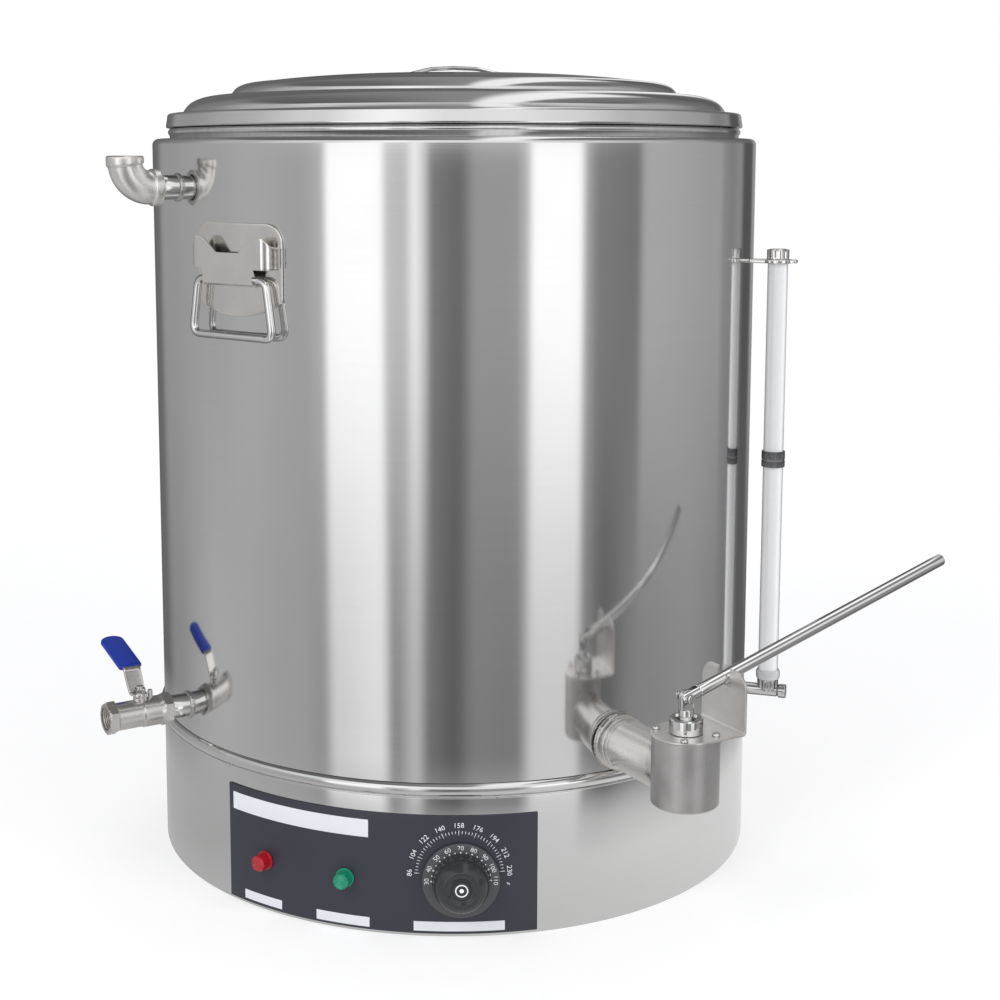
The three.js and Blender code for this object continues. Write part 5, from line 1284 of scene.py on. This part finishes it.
def build_lamp(name, node, azimuth, finish):
    """A pilot lamp: a thin flange, a skirt ribbed by 0.22 |sin 12a| and a face with fine rings."""
    place = fitting(azimuth, PANEL_FACE, 41)
    face = np.linspace(5.2, 0, 14)
    rings = np.stack([9.75 + 0.12 * np.cos(face * 4.0), face], -1)
    profile = line(
        [-22, 0], [-22, 4.5], [0, 4.5], softened([[0, 6.0], [0, 7.2], [1.4, 7.2], [1.4, 6.2]], 0.3),
        softened([[2.0, 6.2], [9.0, 6.2], [9.9, 5.5]], 0.5), rings,
    )
    glass = turned_out(
        spread(profile, 1.2), 96, False,
        lambda r, x, a: np.where((x > 1.9) & (r > 5.6), r - 0.22 * np.abs(np.sin(12 * a)), r),
    )
    piece(name, [glass], "tank", finish, [node], place, sharp=30)


def build_lamps():
    """The power lamp and the working lamp."""
    build_lamp("power_lens", "power_lamp", -34.8, "red_lens")
    build_lamp("working_lens", "working_lamp", -18.8, "green_lens")


def build_dial():
    """The dial ring, a slab whose back follows the panel's round by PANEL_FACE - sqrt(PANEL_FACE^2 - x^2),
    its numbers and dots, and the turned knob with its badge."""
    dial = fitting(KNOB_AZIMUTH, 0, 44.5)
    disc = slab(circle(28.6, 96), 0.0, 2.2, 0.6, 6)
    points = disc[0].copy()
    drop = PANEL_FACE - np.sqrt(PANEL_FACE**2 - points[..., 0] ** 2)
    depth = points[..., 2]
    points[..., 2] = np.where(depth < 0.9, depth - drop + 0.02, depth) + PANEL_FACE
    piece(
        "dial_ring", [faced_out((points, *disc[1:]))], "tank", "ring_plastic", ["dial_bezel"], dial, sharp=40,
        slot="black_plastic",
    )
    put = on_face(dial, PANEL_FACE + 2.2)
    step = 22.3
    marks = [on_ray(str(30 + 10 * i), 5.0, 25.2, -90 + step * i) for i in range(9)]
    lettering("dial_numbers", marks, put, "black_plastic")
    count = np.arange(17)
    main = count % 2 == 0
    tall = np.where(main, 22.6, 22.4)
    strokes(
        "dial_dots", -90 + step / 2 * count, tall - np.where(main, 1.3, 0.9), tall, 1.1, put, "black_plastic",
    )
    back = PANEL_FACE + 2.5
    front = back + 18
    profile = line(
        [240, 0], [240, 3], [back, 3], softened([[back, 19], [back, 21.3], [back + 1.2, 21.3]], 0.3),
        softened([
            [back + 1.6, 20.9], [back + 9, 20.7], [front - 3.5, 18.6], [front, 13.6], [front - 0.1, 11.2],
            [front - 2.2, 8.2],
        ], [0, 9, 9, 5, 1.2, 0.8]),
        softened([[front - 2.2, 7.4], [front - 1.4, 6.9], [front - 1.4, 0]], 0.4),
    )
    piece(
        "dial_knob", [turned_out(spread(profile, 1.0), 160, False)], "thermostat_knob", "knob_plastic",
        ["thermostat_knob"], dial, sharp=50, slot="black_plastic",
    )
    ring = turned_out(
        softened([
            [front - 1.5, 3.9], [front - 1.15, 3.9], [front - 1.15, 4.8], [front - 1.5, 4.8],
        ], 0.05, True, 2),
        48,
    )
    spot = faced_out(slab(circle(1.6, 32), front - 1.5, front - 1.2, 0.05))
    piece("dial_badge", [ring, spot], "thermostat_knob", "print_white", place=dial, slot="black_plastic")


def build_gland():
    """The cable gland: a turned profile with a hexagon, r = the lesser of its own and a hexagon's, and a cap
    ribbed by 0.4 |cos 9a|^4."""
    rear = fitting(180, 0, 34)
    nut_end = BODY + GAP + 6
    profile = line(
        [236.5, 5], softened([[236.5, 8.0], [BODY + GAP, 8.0]], 0.2),
        softened([
            [BODY + GAP, 11.6], [BODY + GAP + 0.6, 12.7], [nut_end - 0.6, 12.7], [nut_end, 11.4],
            [nut_end, 9.5],
        ], 0.3),
        softened([
            [nut_end + 0.3, 9.5], [nut_end + 4.5, 9.5], [nut_end + 9, 7.0], [nut_end + 9, 5.0],
        ], [0, 1.5, 0.8, 0.3]),
    )
    hexagon = hexed(22, [(BODY + GAP - 0.01, nut_end + 0.01)])

    def rule(r, x, a):
        ribbed = (x > nut_end + 0.4) & (x < nut_end + 6) & (r > 8)
        return np.where(ribbed, r - 0.4 * np.abs(np.cos(9 * a)) ** 4, hexagon(r, x, a))

    piece(
        "cord_gland", [turned_out(spread(profile, 1.5), 144, True, rule)], "tank", "black_plastic",
        ["cable_gland"], rear, sharp=30,
    )


def dress_frame():
    """The pieces that stay as packed, inside the base and the valve, get their finishes."""
    kept = {
        "brushed_steel": ["jacket_floor", "base_cover"],
        "dark_chrome": ["heating_element"],
        "pale_plastic": ["terminal_block", "thermostat_body", "drain_seat_outer", "drain_seat_inner"],
        "bright_steel": ["drain_ball", *(f"base_screw_{i}" for i in range(1, 5))],
    }
    for finish, names in kept.items():
        for node in (frame["nodes"][name] for name in names):
            node.data.materials.clear()
            node.data.materials.append(material(finish))
            node["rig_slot"] = finish if finish in SLOTS else "polished_steel"


# Stage
def studio_world():
    """White to the camera. Metal sees a studio of soft upright lights and dark gaps by its ray's azimuth."""
    world = bpy.data.worlds.new("Studio")
    bpy.context.scene.world = world
    w = Tree(world)
    x, y, z = w.apart(w.add("TexCoord").outputs["Generated"])
    turn = w.calc("ARCTAN2", x, w.calc("MULTIPLY", y, -1.0))
    azimuth = w.calc("MULTIPLY_ADD", turn, 1 / (2 * math.pi), 0.5)

    def band(levels):
        """Brightness by azimuth in degrees, with soft changes."""
        stops = [((angle + 180) / 360, (level, level, level * 1.01)) for angle, level in levels]
        return w.ramp(azimuth, *stops, change="EASE")

    def blend(start, end, low, high):
        """A colour that passes from low to high as the ray's height goes from start to end."""
        mix = w.add("Mix")
        mix.data_type = "RGBA"
        amount = w.span(z, start, end, 0.0, 1.0, "SMOOTHSTEP")
        for socket, feed in ((0, amount), (6, low), (7, high)):
            w.links.new(feed, mix.inputs[socket])
        return mix.outputs[2]

    level = band([
        (-180, 0.06), (-152, 0.16), (-140, 0.36), (-100, 0.44), (-80, 0.5), (-57, 0.46), (-49, 0.55),
        (-46, 1.35), (-27, 1.35), (-24, 0.7), (-18, 0.65), (-14, 1.15), (-11, 0.8), (-8, 0.24), (2, 0.18),
        (8, 0.4), (22, 0.4), (26, 0.6), (29, 1.35), (46, 1.35), (49, 0.45), (54, 0.26), (70, 0.22), (74, 0.5),
        (116, 0.42), (121, 0.3), (127, 0.27), (135, 0.31), (141, 0.1), (151, 0.1), (158, 0.34), (179, 0.2),
    ])
    downward = band([
        (-180, 0.1), (-150, 0.15), (-135, 0.3), (-100, 0.5), (-60, 0.42), (-50, 0.36), (-44, 0.8),
        (-27, 0.95), (-22, 0.3), (-14, 0.6), (-9, 0.2), (0, 0.13), (8, 0.26), (23, 0.24), (30, 0.75),
        (45, 0.75), (50, 0.25), (57, 0.14), (72, 0.28), (100, 0.32), (118, 0.26), (127, 0.2), (134, 0.24),
        (142, 0.12), (179, 0.1),
    ])
    upward = band([
        (-180, 0.14), (-160, 0.15), (-135, 0.25), (-90, 0.55), (-55, 0.85), (-25, 1.2), (0, 0.95), (20, 1.0),
        (45, 0.85), (75, 0.6), (100, 0.45), (135, 0.2), (160, 0.12), (167, 0.16), (169, 1.0), (172, 1.0),
        (174, 0.16), (179, 0.14),
    ])
    ceiling = [
        (0.0, 0.1), (0.3, 0.17), (0.46, 0.28), (0.54, 0.32), (0.58, 1.12), (0.67, 1.12), (0.7, 0.25),
        (1.0, 0.1),
    ]
    across = w.calc("MULTIPLY_ADD", x, 0.5, 0.5)
    overhead = w.ramp(across, *[(place, (bright, bright, bright * 1.01)) for place, bright in ceiling])
    room = blend(-0.32, -0.06, downward, level)
    room = blend(0.06, 0.2, room, upward)
    room = blend(0.55, 0.72, room, overhead)
    path = w.add("LightPath").outputs
    shiny = w.calc("MAXIMUM", path["Is Glossy Ray"], path["Is Transmission Ray"])
    plain, studio, white = (
        w.add("Background", Color=colour, Strength=strength).outputs[0]
        for colour, strength in (((0.95, 0.96, 1.0), 0.62), (room, 1.0), ((1, 1, 1), 1.0))
    )
    indirect = w.add("MixShader", {0: shiny, 1: plain, 2: studio}).outputs[0]
    seen = w.add("MixShader", {0: path["Is Camera Ray"], 1: indirect, 2: white}).outputs[0]
    w.add("OutputWorld", Surface=seen)


def build_floor():
    """A pale disc that carries the shadow. It fades out towards its edge, and sooner for metal."""
    rings = [[radius, -0.05] for radius in (0, 200, 400, 800, 1600)]
    grid, closed_rows, closed_columns = turned(rings, 96, False)
    mesh = bpy.data.meshes.new("floor")
    mesh.from_pydata(grid.reshape(-1, 3) * MM, [], quads(*grid.shape[:2], closed_rows, closed_columns))
    floor = bpy.data.objects.new("floor", mesh)
    bpy.context.scene.collection.objects.link(floor)
    glow = {"Emission_Color": (1, 1, 1), "Emission_Strength": 0.56}
    f = Finish("Studio floor", Roughness=0.9, Specular_IOR_Level=0.0, **glow)
    f.join(Base_Color=f.ramp(f.noise(f.place, 40.0), (0.3, 0.49), (0.7, 0.5)))
    x, y = f.apart(f.place)[:2]
    radius = f.distance(x, y)
    in_metal = f.add("LightPath").outputs["Is Glossy Ray"]
    wide = f.span(radius, 0.8, 1.55, 1.0, 0.0)
    near = f.span(radius, 0.36, 0.62, 1.0, 0.0)
    shown = f.add("Mix", {0: in_metal, 2: wide, 3: near}).outputs[0]
    mirrored = f.add("Emission", Color=f.ramp(f.span(x, -0.35, 0.35, 0.0, 1.0), (0.1, 0.48), (0.9, 0.78)))
    surface = f.add("MixShader", {0: in_metal, 1: f.shader.outputs[0], 2: mirrored.outputs[0]})
    clear = f.add("BsdfTransparent")
    mix = f.add("MixShader", {0: shown, 1: clear.outputs[0], 2: surface.outputs[0]})
    f.links.new(mix.outputs[0], f.output.inputs["Surface"])
    mesh.materials.append(f.material)


def build_lights():
    """Three round lamps 2.1 m from the axis, aimed 0.3 m up the tank, that metal doesn't mirror."""
    looks = bpy.context.scene.tank_looks
    lamps = (
        ("Key light", -38, 1.7, 1.2, 1.0), ("Fill light", 48, 1.5, 1.4, 0.7),
        ("Back light", 165, 1.8, 1.6, 0.6),
    )
    for name, azimuth, height, size, share in lamps:
        lamp = bpy.data.lights.new(name, "AREA")
        lamp.shape, lamp.size, lamp.energy = "DISK", size, looks.light * share
        obj = bpy.data.objects.new(name, lamp)
        a = math.radians(azimuth)
        obj.location = (2.1 * math.sin(a), -2.1 * math.cos(a), height)
        way = -obj.location
        way.z += 0.3
        obj.rotation_euler = way.to_track_quat("-Z", "Y").to_euler()
        obj.visible_glossy = False
        bpy.context.scene.collection.objects.link(obj)


def build_camera():
    """The photograph's view, fitted to its ellipses: 1.45 m ahead of the tank and 7.5 degrees down."""
    camera = bpy.data.cameras.new("Camera")
    camera.lens, camera.sensor_width = 61.49, 36
    camera.shift_x, camera.shift_y = 0.0458, -0.116
    down = 7.487
    obj = bpy.data.objects.new("Camera", camera)
    obj.location = (0, -1.4498, 0.5701)
    obj.rotation_euler = (math.radians(90 - down), 0, 0)
    bpy.context.scene.collection.objects.link(obj)
    bpy.context.scene.camera = obj
    bpy.context.scene.view_settings.view_transform = "Standard"


# The add-on
COLOUR = {"subtype": "COLOR", "size": 3, "min": 0, "max": 1}


class TankLooks(bpy.types.PropertyGroup):
    """Colours, gloss and light that a user would change."""

    steel: bpy.props.FloatVectorProperty(
        name="Steel", description="Colour of the polished sheet", default=(0.77, 0.77, 0.765), **COLOUR,
    )
    gloss_low: bpy.props.FloatProperty(
        name="Gloss in streaks", description="Roughness where the sheet is brightest", subtype="FACTOR",
        min=0, max=1, default=0.06,
    )
    gloss_high: bpy.props.FloatProperty(
        name="Gloss between", description="Roughness where the sheet is dullest", subtype="FACTOR", min=0,
        max=1, default=0.12,
    )
    panel: bpy.props.FloatVectorProperty(
        name="Panel", description="Colour of the control panel", default=(0.034, 0.034, 0.05), **COLOUR,
    )
    plastic: bpy.props.FloatVectorProperty(
        name="Plastic", description="Colour of the knob and dial ring", default=(0.036, 0.038, 0.04),
        **COLOUR,
    )
    vinyl: bpy.props.FloatVectorProperty(
        name="Vinyl", description="Colour of the drain lever's sleeve", default=(0.006, 0.035, 0.36),
        **COLOUR,
    )
    red: bpy.props.FloatVectorProperty(
        name="Power lamp", description="Colour of the power lamp", default=(0.62, 0.006, 0.02), **COLOUR,
    )
    green: bpy.props.FloatVectorProperty(
        name="Working lamp", description="Colour of the working lamp", default=(0.0, 0.4, 0.22), **COLOUR,
    )
    light: bpy.props.FloatProperty(
        name="Light", description="Power of the main lamp", subtype="POWER", unit="POWER", min=0,
        default=22.0,
    )


STEPS = [
    (
        "shell", "Tank wall", "Builds the outer wall, the inner pot and the joint bead.",
        (build_shell, build_pot, build_bead),
    ),
    ("base", "Base", "Builds the skirt of the base and the cable gland.", (build_skirt, build_gland)),
    ("lid", "Lid", "Builds the lid and its strap handle.", (build_lid, build_lid_handle)),
    ("handles", "Carrying handles", "Builds both carrying handles.", (build_handles,)),
    ("fill", "Fill elbow", "Builds the fill elbow and its stub.", (build_fill,)),
    ("drain", "Drain valve", "Builds the drain valve and its lever.", (build_drain,)),
    ("gate", "Honey gate", "Builds the honey gate with its lever and spring.", (build_gate,)),
    ("gauge", "Level gauge", "Builds the level gauge.", (build_gauge,)),
    ("panel", "Control panel", "Builds the panel, its labels and its scale.", (build_panel,)),
    ("lamps", "Pilot lamps", "Builds the two pilot lamps.", (build_lamps,)),
    ("dial", "Thermostat dial", "Builds the dial ring and the knob.", (build_dial,)),
    ("inside", "Inner pieces", "Gives the packed inner pieces their finishes.", (dress_frame,)),
    (
        "stage", "Stage", "Builds the floor, lights, world and camera.",
        (studio_world, build_floor, build_lights, build_camera),
    ),
]


def operator(key, label, words, builders):
    """An operator that runs a list of builders."""
    def execute(self, context):
        """Runs the builders, which raise an error if they fail."""
        for builder in builders:
            builder()
        return {"FINISHED"}

    members = {
        "bl_idname": "tank." + key, "bl_label": label, "__doc__": words, "execute": execute,
        "bl_options": {"REGISTER", "UNDO"},
    }
    return type("TANK_OT_" + key, (bpy.types.Operator,), members)


OPERATORS = [operator(*step) for step in STEPS]


class TANK_PT_pieces(bpy.types.Panel):
    """Lists the looks and the steps of the tank."""

    bl_label = "Bottling tank"
    bl_idname = "TANK_PT_pieces"
    bl_space_type = "VIEW_3D"
    bl_region_type = "UI"
    bl_category = "Tank"

    def draw(self, context):
        """A row for each property and a button for each step."""
        for name in TankLooks.__annotations__:
            self.layout.prop(context.scene.tank_looks, name)
        for made in OPERATORS:
            self.layout.operator(made.bl_idname)


CLASSES = [TankLooks, *OPERATORS, TANK_PT_pieces]


def register():
    """Adds the classes, and the looks to the scene."""
    for cls in CLASSES:
        bpy.utils.register_class(cls)
    bpy.types.Scene.tank_looks = bpy.props.PointerProperty(type=TankLooks)


def unregister():
    """Takes them away again."""
    del bpy.types.Scene.tank_looks
    for cls in reversed(CLASSES):
        bpy.utils.unregister_class(cls)


def main():
    """Runs every operator in order and writes the CAD box and the visual box."""
    register()
    for made in OPERATORS:
        group, name = made.bl_idname.split(".")
        getattr(getattr(bpy.ops, group), name)()
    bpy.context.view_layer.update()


if __name__ == "__main__":
    main()
